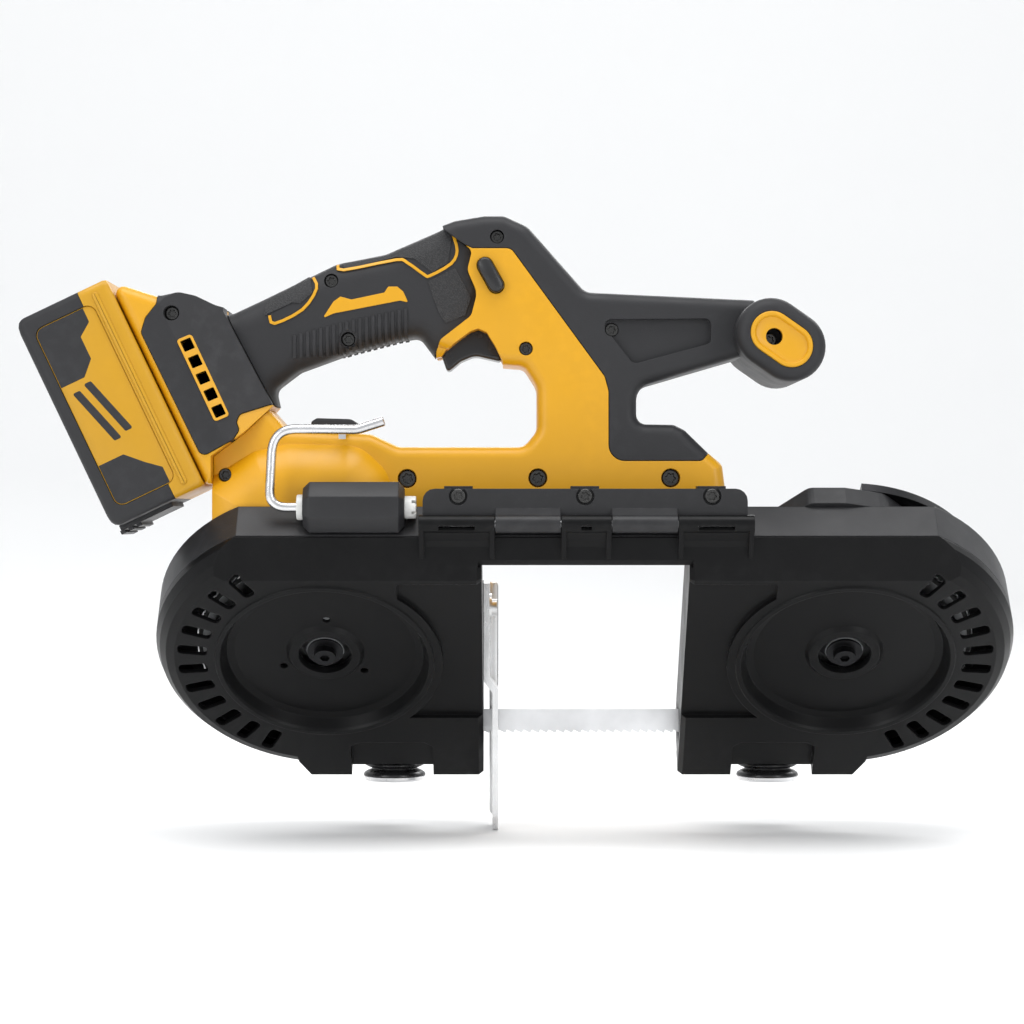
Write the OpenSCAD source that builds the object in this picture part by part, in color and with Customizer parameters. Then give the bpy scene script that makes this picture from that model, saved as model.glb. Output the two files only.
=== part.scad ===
// Portable band saw with a leaning blade, a battery pack, a D shaped rear grip and a crosswise front bar.
// Every piece is placed from the midpoint between the two wheels. X runs along the saw towards the
// front, Y runs away from the cover, Z runs up. The blade's wheels lean over by wheel_tilt.

/* [Wheels and blade] */
// Distance between the two wheel axles
wheel_gap = 264; // [250:1:280]
// Radius of the blade where it runs round a wheel
blade_r = 65; // [60:0.5:67]
// Width of the blade, teeth included
blade_w = 12.7; // [10:0.1:13]
// Thickness of the blade
blade_t = 0.6; // [0.5:0.1:1]
// Wanted distance from tooth to tooth
tooth_pitch = 4.4; // [4:0.2:8]
// Depth of the teeth
tooth_depth = 1.7; // [1:0.1:2.5]
// Thickness of the rubber tyre on each wheel
tyre_t = 2.2; // [1.5:0.1:3]
// Radius of the wheel axles
axle_r = 6; // [5:0.5:7]
// Number of lightening holes in each wheel
wheel_holes = 6; // [3:1:8]

/* [Frame and cover] */
// Space from the blade to the outside of the housing round a wheel
rim_gap = 21; // [20:0.5:24]
// Height of the housing's flat top above the blade's return run
top_gap = 10.6; // [9.5:0.2:12]
// Wall thickness of the cast frame
frame_wall = 3; // [2.5:0.1:3.5]
// Wall thickness of the moulded cover
cover_wall = 2.5; // [2:0.1:3]
// Depth of the frame behind the blade's centre plane
frame_back = 19; // [18:0.5:21]
// Height of the cover's face over the blade's centre plane
cover_face = 17; // [16.5:0.5:19]
// Left edge of the throat
throat_left = -52; // [-56:1:-48]
// Right edge of the throat
throat_right = 50.5; // [46:0.5:54]
// Top edge of the throat above the wheel midpoint
throat_top = 38; // [34:0.5:38.5]
// Outer radius of the dished openings
dish_r = 55; // [50:0.5:56]
// Number of vents at each end of the cover
vents = 11; // [5:1:11]
// Length of a vent
vent_l = 15; // [10:0.5:15]
// Width of a vent
vent_w = 6.5; // [4:0.5:8]
// Depth of the pockets over the latch knobs
pocket_depth = 7; // [5:0.5:8]
// Radius of a latch knob
knob_r = 17; // [13:0.5:18]
// Distance of each latch knob from the middle
knob_x = 100; // [95:1:104]

/* [Hinge] */
// Radius of the hinge barrel
barrel_r = 4.5; // [4:0.1:4.8]
// Radius of the hinge pin
pin_r = 2; // [1.5:0.1:2.5]
// Left end of the hinge
hinge_left = -83; // [-88:1:-80]
// Right end of the hinge
hinge_right = 82; // [80:1:86]

/* [Shoe] */
// Width of the shoe's steel plate along the saw
shoe_w = 7.5; // [6:0.5:9]
// Lowest point of the shoe under the wheel midpoint
shoe_drop = 102; // [98:1:110]
// Thickness of the shoe's plate
shoe_t = 3; // [2.5:0.5:4]

/* [Body] */
// Half width of the body round the trigger
body_half = 24; // [22:0.5:26]
// Half width of the grip
grip_half = 19; // [18:0.5:21]
// Half width of the motor bulge
bulge_half = 38; // [37:0.5:38]
// Half width of the foot over the battery
foot_half = 36; // [34:0.5:37]
// Wall thickness of the moulded shells
shell_wall = 3; // [2.5:0.1:3.5]
// Rounding of the body's outer edges
body_round = 6; // [3:0.5:7]
// Rounding of the grip's outer edges
grip_round = 11; // [8:0.5:13]

/* [Front bar] */
// Length of the crosswise bar
bar_l = 92; // [80:1:110]
// Width of the bar's section
bar_w = 41; // [38:1:44]
// Distance between the two centres of the bar's rounded section
bar_stretch = 12; // [9:0.5:14]

/* [Gears and motor] */
// Teeth on the motor's pinion
pinion_teeth = 10; // [9:1:12]
// Teeth on the middle gear
middle_teeth = 48; // [44:1:50]
// Size of a tooth in the first stage
first_module = 0.95; // [0.9:0.05:1]
// Teeth on the middle gear's pinion
second_pinion_teeth = 12; // [11:1:13]
// Teeth on the output gear
output_teeth = 48; // [44:1:50]
// Size of a tooth in the second stage
second_module = 1.25; // [1.2:0.05:1.3]
// Radius of the motor's case
motor_r = 22; // [20:0.5:22.5]
// Length of the motor's case
motor_l = 30; // [28:0.5:31]

/* [Battery] */
// Height of the pack below its seat
pack_h = 51; // [45:1:56]
// Length of the pack along the slide
pack_l = 114; // [108:1:118]
// Width of the pack
pack_w = 75; // [70:1:78]

/* [Hidden] */
$fn = 48;

// Lean of the wheel plane from upright, which the whole layout is drawn for
wheel_tilt = 45;
// Gap between pieces that move past each other
run_gap = 0.3;
// Radial clearance of a shaft in its bore
shaft_gap = 0.05;
// A cut runs this far past a face
over = 1;

wheel_x = wheel_gap / 2;
frame_r = blade_r + rim_gap;
frame_top = blade_r + top_gap;
part_n = 1.4;
tyre_r = blade_r - blade_t / 2 - 0.05;
wheel_r = tyre_r - tyre_t;
rim_half = blade_w / 2 + 0.15;

// Height of a point on a lean plane, and its distance from the midpoint plane
function lean_z(u, n) = (u - n) * cos(wheel_tilt);
function lean_y(u, n) = -(u + n) * sin(wheel_tilt);

// Battery seat: middle of the joint between foot and pack, and the direction of the slide
seat_x = -214.7;
seat_z = 129.3;
seat_turn = 25.5;
pack_edge = 1.2;
function seat_point(out, along) = [
  seat_x + out * cos(seat_turn) - along * sin(seat_turn),
  seat_z + out * sin(seat_turn) + along * cos(seat_turn)
];

// The saw stands on the shoe's tip, and its footprint is centred on the origin
left_end = seat_point(pack_edge - pack_h, pack_l / 2 - pack_edge).x;
right_end = wheel_x + frame_r;
knob_y = 73.5;
hinge_y = -59;
hinge_z = 58.3;
hook_y = -50;
hook_z = 66.5;
housing_r = 12.5;
near_end = hinge_y - barrel_r;
far_end = knob_y + knob_r;
mid_x = -(left_end + right_end) / 2;
mid_y = -(near_end + far_end) / 2;
mid_z = shoe_drop;

// Frames in which the pieces are drawn: along the saw's side, on the lean wheel plane, and as it stands
module standing() translate([mid_x, mid_y, mid_z]) children();
module upright() standing() rotate([90, 0, 0]) children();
module leaning() standing() rotate([90 + wheel_tilt, 0, 0]) children();
module on_seat() upright() translate([seat_x, seat_z, 0]) rotate([0, 0, seat_turn]) children();

// An outline is a list of corners [x, y, radius] in counterclockwise order
function unit(v) = v / norm(v);
function left_of(v) = [-v.y, v.x];
// Shortest side of a rounded corner, so that no piece of an outline is a sliver
least_chord = 0.6;
function corner_arc(before, here, after, inset, steps) =
  let (d1 = unit([here.x - before.x, here.y - before.y]))
  let (d2 = unit([after.x - here.x, after.y - here.y]))
  let (n1 = left_of(d1), n2 = left_of(d2))
  let (turn = atan2(cross(d1, d2), d1 * d2), side = turn >= 0 ? 1 : -1)
  let (bisector = (n1 + n2) / (1 + n1 * n2))
  let (least = least_chord * steps / max(abs(turn), 12) * 180 / PI)
  let (radius = side > 0 ? max(here.z - inset, min(here.z, least)) : here.z + inset)
  let (centre = [here.x, here.y] + bisector * (inset + side * radius))
  let (start = atan2(-side * n1.y, -side * n1.x))
  abs(turn) < 12 ? [[here.x, here.y] + bisector * inset] :
  [for (i = [0:steps]) centre + radius * [cos(start + turn * i / steps), sin(start + turn * i / steps)]];
function outline(corners, inset = 0, steps = 3) = [
  for (i = [0:len(corners) - 1])
    each corner_arc(
      corners[(i + len(corners) - 1) % len(corners)],
      corners[i],
      corners[(i + 1) % len(corners)],
      inset,
      steps
    )
];

// A solid through a stack of equal outlines, each lifted to levels[k].x and moved in by levels[k].y
module stacked(corners, levels, steps = 3) {
  rings = [for (level = levels) [for (p = outline(corners, level.y, steps)) [p.x, p.y, level.x]]];
  count = len(rings[0]);
  sides = [
    for (k = [0:len(rings) - 2])
      for (i = [0:count - 1])
        let (j = (i + 1) % count)
        each [
          [k * count + i, (k + 1) * count + i, (k + 1) * count + j],
          [k * count + i, (k + 1) * count + j, k * count + j]
        ]
  ];
  floor_face = [[for (i = [0:count - 1]) i]];
  roof_face = [[for (i = [0:count - 1]) len(rings) * count - 1 - i]];
  polyhedron(points = [for (ring = rings) each ring], faces = concat(sides, floor_face, roof_face));
}

// Half a moulding: its outer edge is rounded over from the side wall to the flat face
function round_over(height, radius, steps = 3) =
  let (last = 90 * (steps - 1) / steps, slope = cos(last) / (1 - sin(last)))
  [
    for (i = [0:steps - 1])
      [height - radius + radius * sin(90 * i / steps), radius * (1 - cos(90 * i / steps))],
    [height + spill, radius + spill * slope]
  ];
// Height by which the last slope runs past the flat face that cuts it
spill = 0.3;
module half_moulding(corners, height, radius, steps = 3)
  intersection() {
    stacked(corners, concat([[-over, 0]], round_over(height, radius)), steps);
    translate([-400, -300, 0]) cube([800, 800, height]);
  }

// Centres and headings along straight runs joined by bends, all in the XY plane
function back_off(before, here, after, bend_r) =
  let (a = unit(here - before), b = unit(after - here))
  bend_r * tan(abs(atan2(cross(a, b), a * b)) / 2);
function bend_path(points, bend_r, steps) = [
  each [[points[0], unit(points[1] - points[0])]],
  for (i = [1:len(points) - 2])
    let (a = unit(points[i] - points[i - 1]), b = unit(points[i + 1] - points[i]))
    let (turn = atan2(cross(a, b), a * b), side = turn > 0 ? 1 : -1)
    let (centre = points[i] - a * back_off(points[i - 1], points[i], points[i + 1], bend_r) + left_of(a) * side * bend_r)
    for (k = [0:steps])
      let (angle = turn * k / steps, heading = a * cos(angle) + left_of(a) * sin(angle))
      [centre - left_of(heading) * side * bend_r, heading],
  each [[points[len(points) - 1], unit(points[len(points) - 1] - points[len(points) - 2])]]
];
module bent_rod(points, rod_r, bend_r, steps = 6, sides = 12) {
  path = bend_path(points, bend_r, steps);
  rings = [
    for (station = path)
      [for (k = [0:sides - 1])
        let (side = rod_r * cos(360 * k / sides), at = station[0] + left_of(station[1]) * side)
        [at.x, at.y, rod_r * sin(360 * k / sides)]]
  ];
  last = len(rings) - 1;
  walls = [
    for (i = [0:last - 1])
      for (k = [0:sides - 1])
        let (j = (k + 1) % sides)
        each [
          [i * sides + k, (i + 1) * sides + j, i * sides + j],
          [i * sides + k, (i + 1) * sides + k, (i + 1) * sides + j]
        ]
  ];
  ends = [[for (k = [0:sides - 1]) k], [for (k = [sides - 1:-1:0]) last * sides + k]];
  polyhedron(points = [for (ring = rings) each ring], faces = concat(walls, ends));
}

module ring(outer, inner, height) {
  difference() {
    cylinder(r = outer, h = height);
    translate([0, 0, -over]) cylinder(r = inner, h = height + 2 * over);
  }
}

// Socket head screw along +z with its head's underside at z = 0
module cap_screw(shank_r, length, head_r, head_h, socket_r) {
  difference() {
    union() {
      translate([0, 0, -length]) cylinder(r = shank_r, h = length + 0.1);
      cylinder(r = head_r, h = head_h);
    }
    translate([0, 0, head_h * 0.45]) cylinder(r = socket_r, h = head_h, $fn = 6);
  }
}

// Housing of the wheels: outlines lie on the lean plane as [x, u], profiles across it as [u, n]
module along_x(from, to) translate([from, 0, 0]) rotate([90, 0, 90]) linear_extrude(to - from) children();
module throat(margin, reach = 200) {
  translate([throat_left - margin, -reach, -2 * reach])
    cube([throat_right - throat_left + 2 * margin, 2 * reach, 2 * reach + throat_top + margin]);
}
module housing_outline(inset) {
  side = frame_r - inset;
  intersection() {
    union() {
      for (end = [-1, 1]) translate([end * wheel_x, 0]) circle(r = side, $fn = 96);
      square([wheel_gap, 2 * side], center = true);
    }
    translate([-wheel_x - frame_r, -frame_r]) square([2 * right_end, frame_r + frame_top - inset]);
  }
}

// Drive train on the lean plane: output shaft, middle shaft and motor
first_gap = first_module * (pinion_teeth + middle_teeth) / 2;
second_gap = second_module * (second_pinion_teeth + output_teeth) / 2;
drive_at = [-wheel_x, 0];
motor_at = [-wheel_x + 4, 46];
motor_line = unit(motor_at - drive_at);
motor_far = norm(motor_at - drive_at);
middle_on_line = (second_gap * second_gap - first_gap * first_gap + motor_far * motor_far) / (2 * motor_far);
middle_off_line = sqrt(second_gap * second_gap - middle_on_line * middle_on_line);
middle_at = drive_at + motor_line * middle_on_line - left_of(motor_line) * middle_off_line;
gear_low = -frame_back - 9;
gear_wide = 7;
first_low = gear_low - 7.5;
first_wide = 5.5;
case_floor = first_low - 1.5;
case_back = case_floor - 2.5;
motor_front = case_back - 0.5;
bearing_r = 13;
bearing_h = 6;
small_bearing_r = 7;
small_bearing_h = 4;
journal_r = 4;

// Involute spur gear with its first tooth on the x axis
function roll_angle(base, r) = let (a = acos(min(1, base / r))) tan(a) * 180 / PI - a;
module spur_gear(teeth, tooth, width, tip) {
  pitch = teeth * tooth / 2;
  base = pitch * cos(20);
  root = pitch - 1.25 * tooth;
  top = pitch + tip * tooth;
  half = 90 / teeth - 2.4 * tooth / pitch + roll_angle(base, pitch);
  function half_at(r) = r <= base ? half : half - roll_angle(base, r);
  radii = [root, max(base, root + 0.05), pitch, top];
  linear_extrude(width)
    polygon([
      for (i = [0:teeth - 1])
        each concat(
          [for (r = radii) r * [cos(360 * i / teeth - half_at(r)), sin(360 * i / teeth - half_at(r))]],
          [for (k = [3:-1:0]) let (r = radii[k])
            r * [cos(360 * i / teeth + half_at(r)), sin(360 * i / teeth + half_at(r))]]
        )
    ]);
}

// Bore for a shaft or screw along the wheel axles
module lean_bore(at, r, from = -60, to = 30) {
  leaning() translate([at.x, at.y, from]) cylinder(r = r, h = to - from);
}
guide_left = throat_left - frame_wall - 8;
guide_right = throat_right + frame_wall + 8;
blade_y = lean_y(-blade_r, 0);
blade_z = lean_z(-blade_r, 0);
lug_x = [-63.5, -1, 61.5];
lug_z = 72;
lug_near = -51;
lug_far = -37;
carriage_travel = 2.8;
carriage_h = 12;
carriage_w = 30;
boss_floor = -70;

// Cast frame: back plate, rim and throat walls, with bosses for bearings, hinge, latches and shoe
module wheel_frame() {
  color("dimgray")
    difference() {
      union() {
        difference() {
          leaning() translate([0, 0, -frame_back]) linear_extrude(frame_back + part_n) housing_outline(0);
          difference() {
            leaning()
              translate([0, 0, frame_wall - frame_back])
                linear_extrude(frame_back + part_n)
                  housing_outline(frame_wall);
            standing() throat(frame_wall);
          }
        }
        leaning() translate([drive_at.x, drive_at.y, -frame_back]) cylinder(r = bearing_r + 3, h = bearing_h + 1);
        leaning() translate([middle_at.x, middle_at.y, -frame_back]) cylinder(r = small_bearing_r + 2.5, h = 6);
        // Lugs behind the hinge bracket
        standing() for (x = lug_x)
          translate([x - 7, lug_near, lean_z(frame_top, -14)])
            cube([14, lug_far - lug_near, lug_z + 5 - lean_z(frame_top, -14)]);
        // Bosses over the latch knobs
        standing() for (x = [-knob_x, knob_x])
          translate([x - 12, 0, 0])
            along_x(0, 24)
              polygon([
                [lean_y(-frame_r, 0), lean_z(-frame_r, 0)],
                [65, boss_floor], [82, boss_floor], [82, boss_floor + 9],
                [lean_y(-frame_r, -frame_back) - 2, lean_z(-frame_r, -frame_back) + 3]
              ]);
        // Pad that carries the shoe behind the left throat wall
        standing()
          along_x(throat_left - 6, throat_left)
            polygon([[lean_y(0, -frame_back) - 6, 0], [58, -34], [58, 28], [8, 28], [-6, 28]]);
      }
      standing() throat(0);
      // The blade leaves and enters through the throat walls
      leaning()
        translate([throat_left - 8, -blade_r - 8, -8])
          cube([throat_right - throat_left + 16, 15, 8 + part_n + over]);
      lean_bore(drive_at, bearing_r + 0.02, -frame_back - over, -frame_back + bearing_h);
      lean_bore(drive_at, axle_r + 2, -frame_back - over, 0);
      lean_bore(middle_at, small_bearing_r + 0.02, -frame_back - over, -frame_back + small_bearing_h);
      // Slot for the idler's axle
      leaning()
        translate([wheel_x - axle_r - 1 - carriage_travel, -axle_r - 1, -frame_back - over])
          cube([2 * axle_r + 2 + carriage_travel, 2 * axle_r + 2, 8]);
      standing() for (x = lug_x)
        translate([x, lug_near - over, lug_z]) rotate([-90, 0, 0]) cylinder(r = 1.75, h = 14.5);
      standing() for (x = [-knob_x, knob_x])
        translate([x, knob_y, boss_floor - over]) cylinder(r = 4 + shaft_gap, h = 14);
      standing() for (z = shoe_screw_z)
        translate([throat_left - 10, shoe_screw_y, z]) rotate([0, 90, 0]) cylinder(r = 2.5, h = 12);
    }
}

// Cover: a bevelled shell over both wheels, open at the throat
module cover_profile(inset) {
  top = cover_face - inset;
  side = frame_r - inset;
  low = part_n + (inset > 0 ? -over : run_gap);
  polygon([
    [0, low], [side, low], [side, 6 - inset * 0.3], [side - 2.2, 11.5 - inset * 0.6],
    [side - 5.6, 15.3 - inset * 0.9], [side - 10, top], [0, top]
  ]);
}
lip_u = frame_r + 2.6;
module cover_form(inset) {
  low = part_n + (inset > 0 ? -over : run_gap);
  side = frame_r - inset;
  intersection() {
    leaning() union() {
      for (end = [-1, 1]) translate([end * wheel_x, 0, 0]) rotate_extrude($fn = 96) cover_profile(inset);
      along_x(-wheel_x, wheel_x)
        polygon([
          [-side, low], [side, low], [side, 6 - inset * 0.3], [side - 10, cover_face - inset],
          [10 - side, cover_face - inset], [-side, 6 - inset * 0.3]
        ]);
      // Straight lip along the lower edge between the knobs and the throat
      translate([0, 0, low])
        linear_extrude(cover_face - inset - low)
          polygon([
            [inset - 152, -60], [inset - 149, -78], [inset - 143, inset - lip_u],
            [143 - inset, inset - lip_u], [149 - inset, -78], [152 - inset, -60]
          ]);
    }
    // Its top edge is cut off upright, in line with the hinge
    standing() translate([-300, -54.4 + inset, -200]) cube([600, 400, 400]);
    leaning() translate([-300, -200, -50]) cube([600, 200 + frame_top, 100]);
  }
}
panel_drop = 2.5;
flare_r = dish_r + 5;
// Flat panels between the dishes and the throat, on the lean plane
module panel_zone(grow) {
  difference() {
    translate([-wheel_x + 38 - grow, -43 - grow]) square([2 * wheel_x - 76 + 2 * grow, 100 + 2 * grow]);
    for (end = [-1, 1]) translate([end * wheel_x, 0]) circle(r = flare_r - grow, $fn = 96);
  }
}
module pocket_zone(grow) {
  polygon(outline([
    [-21.5 - grow, -95, 1], [21.5 + grow, -95, 1], [21.5 + grow, -66 + grow, 1],
    [17 + grow, -62.6 + grow, 1], [-17 - grow, -62.6 + grow, 1], [-21.5 - grow, -66 + grow, 1]
  ], 0, 1));
}
pocket_floor = cover_face - pocket_depth;
module dish_bowl() {
  rotate_extrude($fn = 96)
    polygon([
      [13.5, cover_face - 4.7], [13.5, cover_face - 9.2], [dish_r - 7, cover_face - 9.2],
      [dish_r - 4.3, cover_face - 8.2], [dish_r - 1.4, cover_face - 2.6], [dish_r + 0.8, cover_face - 2.6],
      [dish_r + 0.8, cover_face], [dish_r + 0.4, cover_face + 0.9], [dish_r - 2, cover_face + 0.9],
      [dish_r - 2.8, cover_face - 0.6], [dish_r - 5, cover_face - 6], [dish_r - 9, cover_face - 7],
      [20, cover_face - 7], [18, cover_face - 4.7]
    ]);
}
knuckles = [[hinge_left, -45.3], [-13, 12], [44.5, hinge_right]];
module hinge_cylinder(r, from, to) standing() translate([from, hinge_y, hinge_z]) rotate([0, 90, 0]) cylinder(r = r, h = to - from);
rib_w = 2.4;
module wheel_cover() {
  color("dimgray")
    difference() {
      union() {
        difference() {
          cover_form(0);
          difference() {
            cover_form(cover_wall);
            standing() throat(cover_wall);
            leaning()
              translate([0, 0, cover_face - panel_drop - cover_wall])
                linear_extrude(20)
                  panel_zone(cover_wall);
            leaning() for (x = [-knob_x, knob_x])
              translate([x, 0, pocket_floor - cover_wall]) linear_extrude(20) pocket_zone(cover_wall);
          }
          leaning()
            for (end = [-1, 1])
              translate([end * wheel_x, 0, 0]) cylinder(r = dish_r, h = 30, $fn = 96);
          leaning() translate([0, 0, cover_face - panel_drop]) linear_extrude(20) panel_zone(0);
          leaning() for (x = [-knob_x, knob_x])
            translate([x, 0, pocket_floor]) linear_extrude(20) pocket_zone(0);
        }
        leaning() for (end = [-1, 1]) translate([end * wheel_x, 0, 0]) dish_bowl();
        // Hinge knuckles with their webs and ribs
        for (k = knuckles) {
          hinge_cylinder(barrel_r, k[0] + run_gap / 2, k[1] - run_gap / 2);
          standing() along_x(k[0] + run_gap / 2, k[1] - run_gap / 2)
            polygon([
              [hinge_y - 2, hinge_z - 3.8], [hinge_y, hinge_z], [hinge_y + 3.4, hinge_z - 2.2],
              [-54.9, 51.5], [-53, 48], [-54.4, 47], [-56.4, 50]
            ]);
          standing() for (x = [k[0] + 0.3, k[1] - 0.3 - rib_w])
            along_x(x, x + rib_w)
              polygon([
                [hinge_y - 4.3, hinge_z - 1], [hinge_y, hinge_z], [-54.9, 51.5], [-53, 42], [-54.8, 41]
              ]);
        }
      }
      hinge_cylinder(pin_r + shaft_gap, hinge_left - over, hinge_right + over);
      // Windows in the knuckles that show the pin
      standing() for (k = knuckles)
        translate([k[0] + 10, hinge_y - 10, hinge_z - 3]) cube([k[1] - k[0] - 20, 10, 2]);
      standing() throat(0);
      throat_bevel();
      // The blade leaves and enters through the throat walls
      leaning()
        translate([throat_left - 8, -blade_r - 8, -over])
          cube([throat_right - throat_left + 16, 15, 10.5]);
      leaning() for (end = [-1, 1])
        translate([end * wheel_x, 0, 0])
          for (i = [0:vents - 1])
            let (a = 125 + 118 * i / (vents - 1))
            rotate([0, 0, end < 0 ? a : 180 - a])
              vent_cut();
      // Three small holes in the drive wheel's dish
      leaning()
        translate([-wheel_x, 0, 0])
          for (a = [86, 206, 324])
            rotate([0, 0, a]) translate([24, 0, 0]) cylinder(r = 2, h = 20);
    }
}
// Bevel round the throat on the cover's face and on its upright top band
throat_bevel_w = 3.6;
module throat_bevel() {
  for (x = [throat_left, throat_right]) {
    leaning() translate([x, 0, cover_face]) rotate([0, 45, 0]) cube([throat_bevel_w, 300, throat_bevel_w], center = true);
    standing() translate([x, -54.4, 0]) rotate([0, 0, 45]) cube([throat_bevel_w, throat_bevel_w, 2 * throat_top], center = true);
  }
  standing()
    translate([(throat_left + throat_right) / 2, -54.4, throat_top])
      rotate([45, 0, 0])
        cube([throat_right - throat_left + throat_bevel_w, throat_bevel_w, throat_bevel_w], center = true);
}
module vent_cut() {
  translate([frame_r - 11.5 - vent_l, -vent_w / 2, 6])
    linear_extrude(20)
      polygon(outline([[0, 0, 2], [vent_l, 0, 2], [vent_l, vent_w, 2], [0, vent_w, 2]], 0, 2));
}

// Bracket on the frame's top edge with the two fixed knuckles of the hinge
fixed_knuckles = [[-45.3, -13], [12, 44.5]];
bracket_top = 75.7;
bracket_near = -55;
module hinge_bracket() {
  color("dimgray")
    difference() {
      union() {
        // Upright plate with rounded upper corners
        standing()
          translate([0, bracket_near + 4, 0])
            rotate([90, 0, 0])
              linear_extrude(4)
                polygon(outline([
                  [hinge_left + 2, 60.5, 0.3], [hinge_right - 3, 60.5, 0.3],
                  [hinge_right - 3, bracket_top, 6], [hinge_left + 2, bracket_top, 6]
                ], 0, 4));
        // Foot on the frame's sloping top
        standing()
          along_x(hinge_left + 4, hinge_right - 5)
            polygon([
              [bracket_near + 2, 61], [bracket_near + 2, lean_z(frame_top, 0) + 4],
              [lug_near, lug_near + frame_top / cos(wheel_tilt)],
              [-43, frame_top / cos(wheel_tilt) - 43], [-43, frame_top / cos(wheel_tilt) - 40], [lug_near, 65]
            ]);
        for (k = fixed_knuckles) {
          hinge_cylinder(barrel_r, k[0] + run_gap / 2, k[1] - run_gap / 2);
          standing() along_x(k[0] + run_gap / 2, k[1] - run_gap / 2)
            polygon([
              [hinge_y - 3.5, hinge_z + 2.8], [hinge_y, hinge_z], [hinge_y + 4, hinge_z - 1],
              [-52, 61], [-52, 66], [bracket_near, 66]
            ]);
        }
      }
      for (k = knuckles) hinge_cylinder(barrel_r + 0.7, k[0] - 0.15, k[1] + 0.15);
      hinge_cylinder(pin_r + shaft_gap, hinge_left - over, hinge_right + over);
      // The foot clears the hinge lugs of the frame
      standing() for (x = lug_x)
        translate([x - 7 - run_gap / 3, lug_near, 40]) cube([14 + run_gap / 1.5, 40, 60]);
      standing() for (x = lug_x) {
        translate([x, bracket_near - over, lug_z]) rotate([-90, 0, 0]) cylinder(r = 2.2, h = 10);
        translate([x, bracket_near - over, lug_z]) rotate([-90, 0, 0]) cylinder(r = 4.5, h = 2.2 + over);
      }
    }
}
module bracket_screws() {
  color("black")
    standing() for (x = lug_x)
      translate([x, bracket_near + 2.2, lug_z]) rotate([90, 0, 0]) cap_screw(1.7, 14, 3.6, 1.9, 1.6);
}
module hinge_pin() {
  color("silver") hinge_cylinder(pin_r, hinge_left + 0.5, hinge_right - 0.5);
}

// Latch knob: a waisted disc that turns under its boss
module latch_knob(side) {
  standing()
    translate([side * knob_x, knob_y, boss_floor - run_gap]) {
      rotate_extrude()
        polygon([
          [0, -9.6], [knob_r - 4, -9.6], [knob_r - 0.8, -8.2], [knob_r, -6.8], [knob_r, -5.4],
          [knob_r - 1.2, -3.8], [knob_r - 4.8, -2.8], [knob_r - 4.6, -2], [knob_r - 2.2, -1.4],
          [knob_r - 1.2, 0], [0, 0]
        ]);
      cylinder(r = 4, h = 12);
    }
}
module latch_knob_left() color("black") latch_knob(-1);
module latch_knob_right() color("black") latch_knob(1);

// Wheels, drawn flat round their own axle. The hub's tip stays clear of the cover's collar.
hub_tip_r = 9.5;
hub_top = rim_half + 2.5;
module wheel_disc() {
  difference() {
    rotate_extrude($fn = 96)
      polygon([
        [axle_r + shaft_gap, -rim_half], [13, -rim_half], [13, -2.5], [wheel_r - 6, -2.5], [wheel_r - 4, -rim_half],
        [wheel_r, -rim_half], [wheel_r, rim_half], [wheel_r - 4, rim_half], [wheel_r - 6, 2.5],
        [13, 2.5], [hub_tip_r, hub_top], [axle_r + shaft_gap, hub_top]
      ]);
    for (i = [0:wheel_holes - 1])
      rotate([0, 0, (i + 0.5) * 360 / wheel_holes]) translate([(wheel_r + 7) / 2, 0, -10]) cylinder(r = 9, h = 20);
  }
}
module tyre() {
  rotate_extrude($fn = 96)
    polygon([
      [wheel_r + 0.02, -rim_half], [tyre_r - 0.6, -rim_half], [tyre_r, -rim_half + 1], [tyre_r, rim_half - 1],
      [tyre_r - 0.6, rim_half], [wheel_r + 0.02, rim_half]
    ]);
}
idler_bearing_r = 9.5;
idler_bearing_h = 2 * rim_half - 1;
module hub_bolt() {
  ring(hub_tip_r - 0.3, 3, 1.2);
  translate([0, 0, 1.2]) cap_screw(2.98, 12, 5.6, 4, 2.6);
}
module drive_wheel() color("gray") leaning() translate([drive_at.x, drive_at.y, 0]) wheel_disc();
module drive_tyre() color("black") leaning() translate([drive_at.x, drive_at.y, 0]) tyre();
module drive_bolt() color("black") leaning() translate([drive_at.x, drive_at.y, hub_top]) hub_bolt();
module idler_wheel() {
  color("gray")
    leaning()
      translate([wheel_x, 0, 0])
        difference() {
          wheel_disc();
          translate([0, 0, -rim_half - over]) cylinder(r = idler_bearing_r + 0.02, h = idler_bearing_h + over);
        }
}
module idler_tyre() color("black") leaning() translate([wheel_x, 0, 0]) tyre();
module idler_bolt() color("black") leaning() translate([wheel_x, 0, hub_top + run_gap]) hub_bolt();
module idler_bearing() {
  color("silver")
    leaning()
      translate([wheel_x, 0, -rim_half]) ring(idler_bearing_r, axle_r + shaft_gap, idler_bearing_h);
}

// Drive shaft with its gear seat behind the frame
module drive_shaft() {
  color("silver")
    leaning()
      translate([drive_at.x, drive_at.y, 0])
        difference() {
          union() {
            translate([0, 0, case_floor + 0.5]) cylinder(r = axle_r, h = hub_top - case_floor - 0.5);
            translate([0, 0, case_floor - 1.5]) cylinder(r = journal_r, h = 3);
            translate([0, 0, gear_low + gear_wide]) cylinder(r = axle_r + 1.6, h = -frame_back - gear_low - gear_wide - 0.3);
          }
          translate([0, 0, hub_top - 12]) cylinder(r = 3, h = 13);
        }
}
module output_gear() {
  color("silver")
    leaning()
      translate([drive_at.x, drive_at.y, gear_low])
        difference() {
          rotate([0, 0, atan2(middle_at.y - drive_at.y, middle_at.x - drive_at.x)])
            spur_gear(output_teeth, second_module, gear_wide, 0.65);
          translate([0, 0, -over]) cylinder(r = axle_r + 0.02, h = 20);
        }
}
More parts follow.
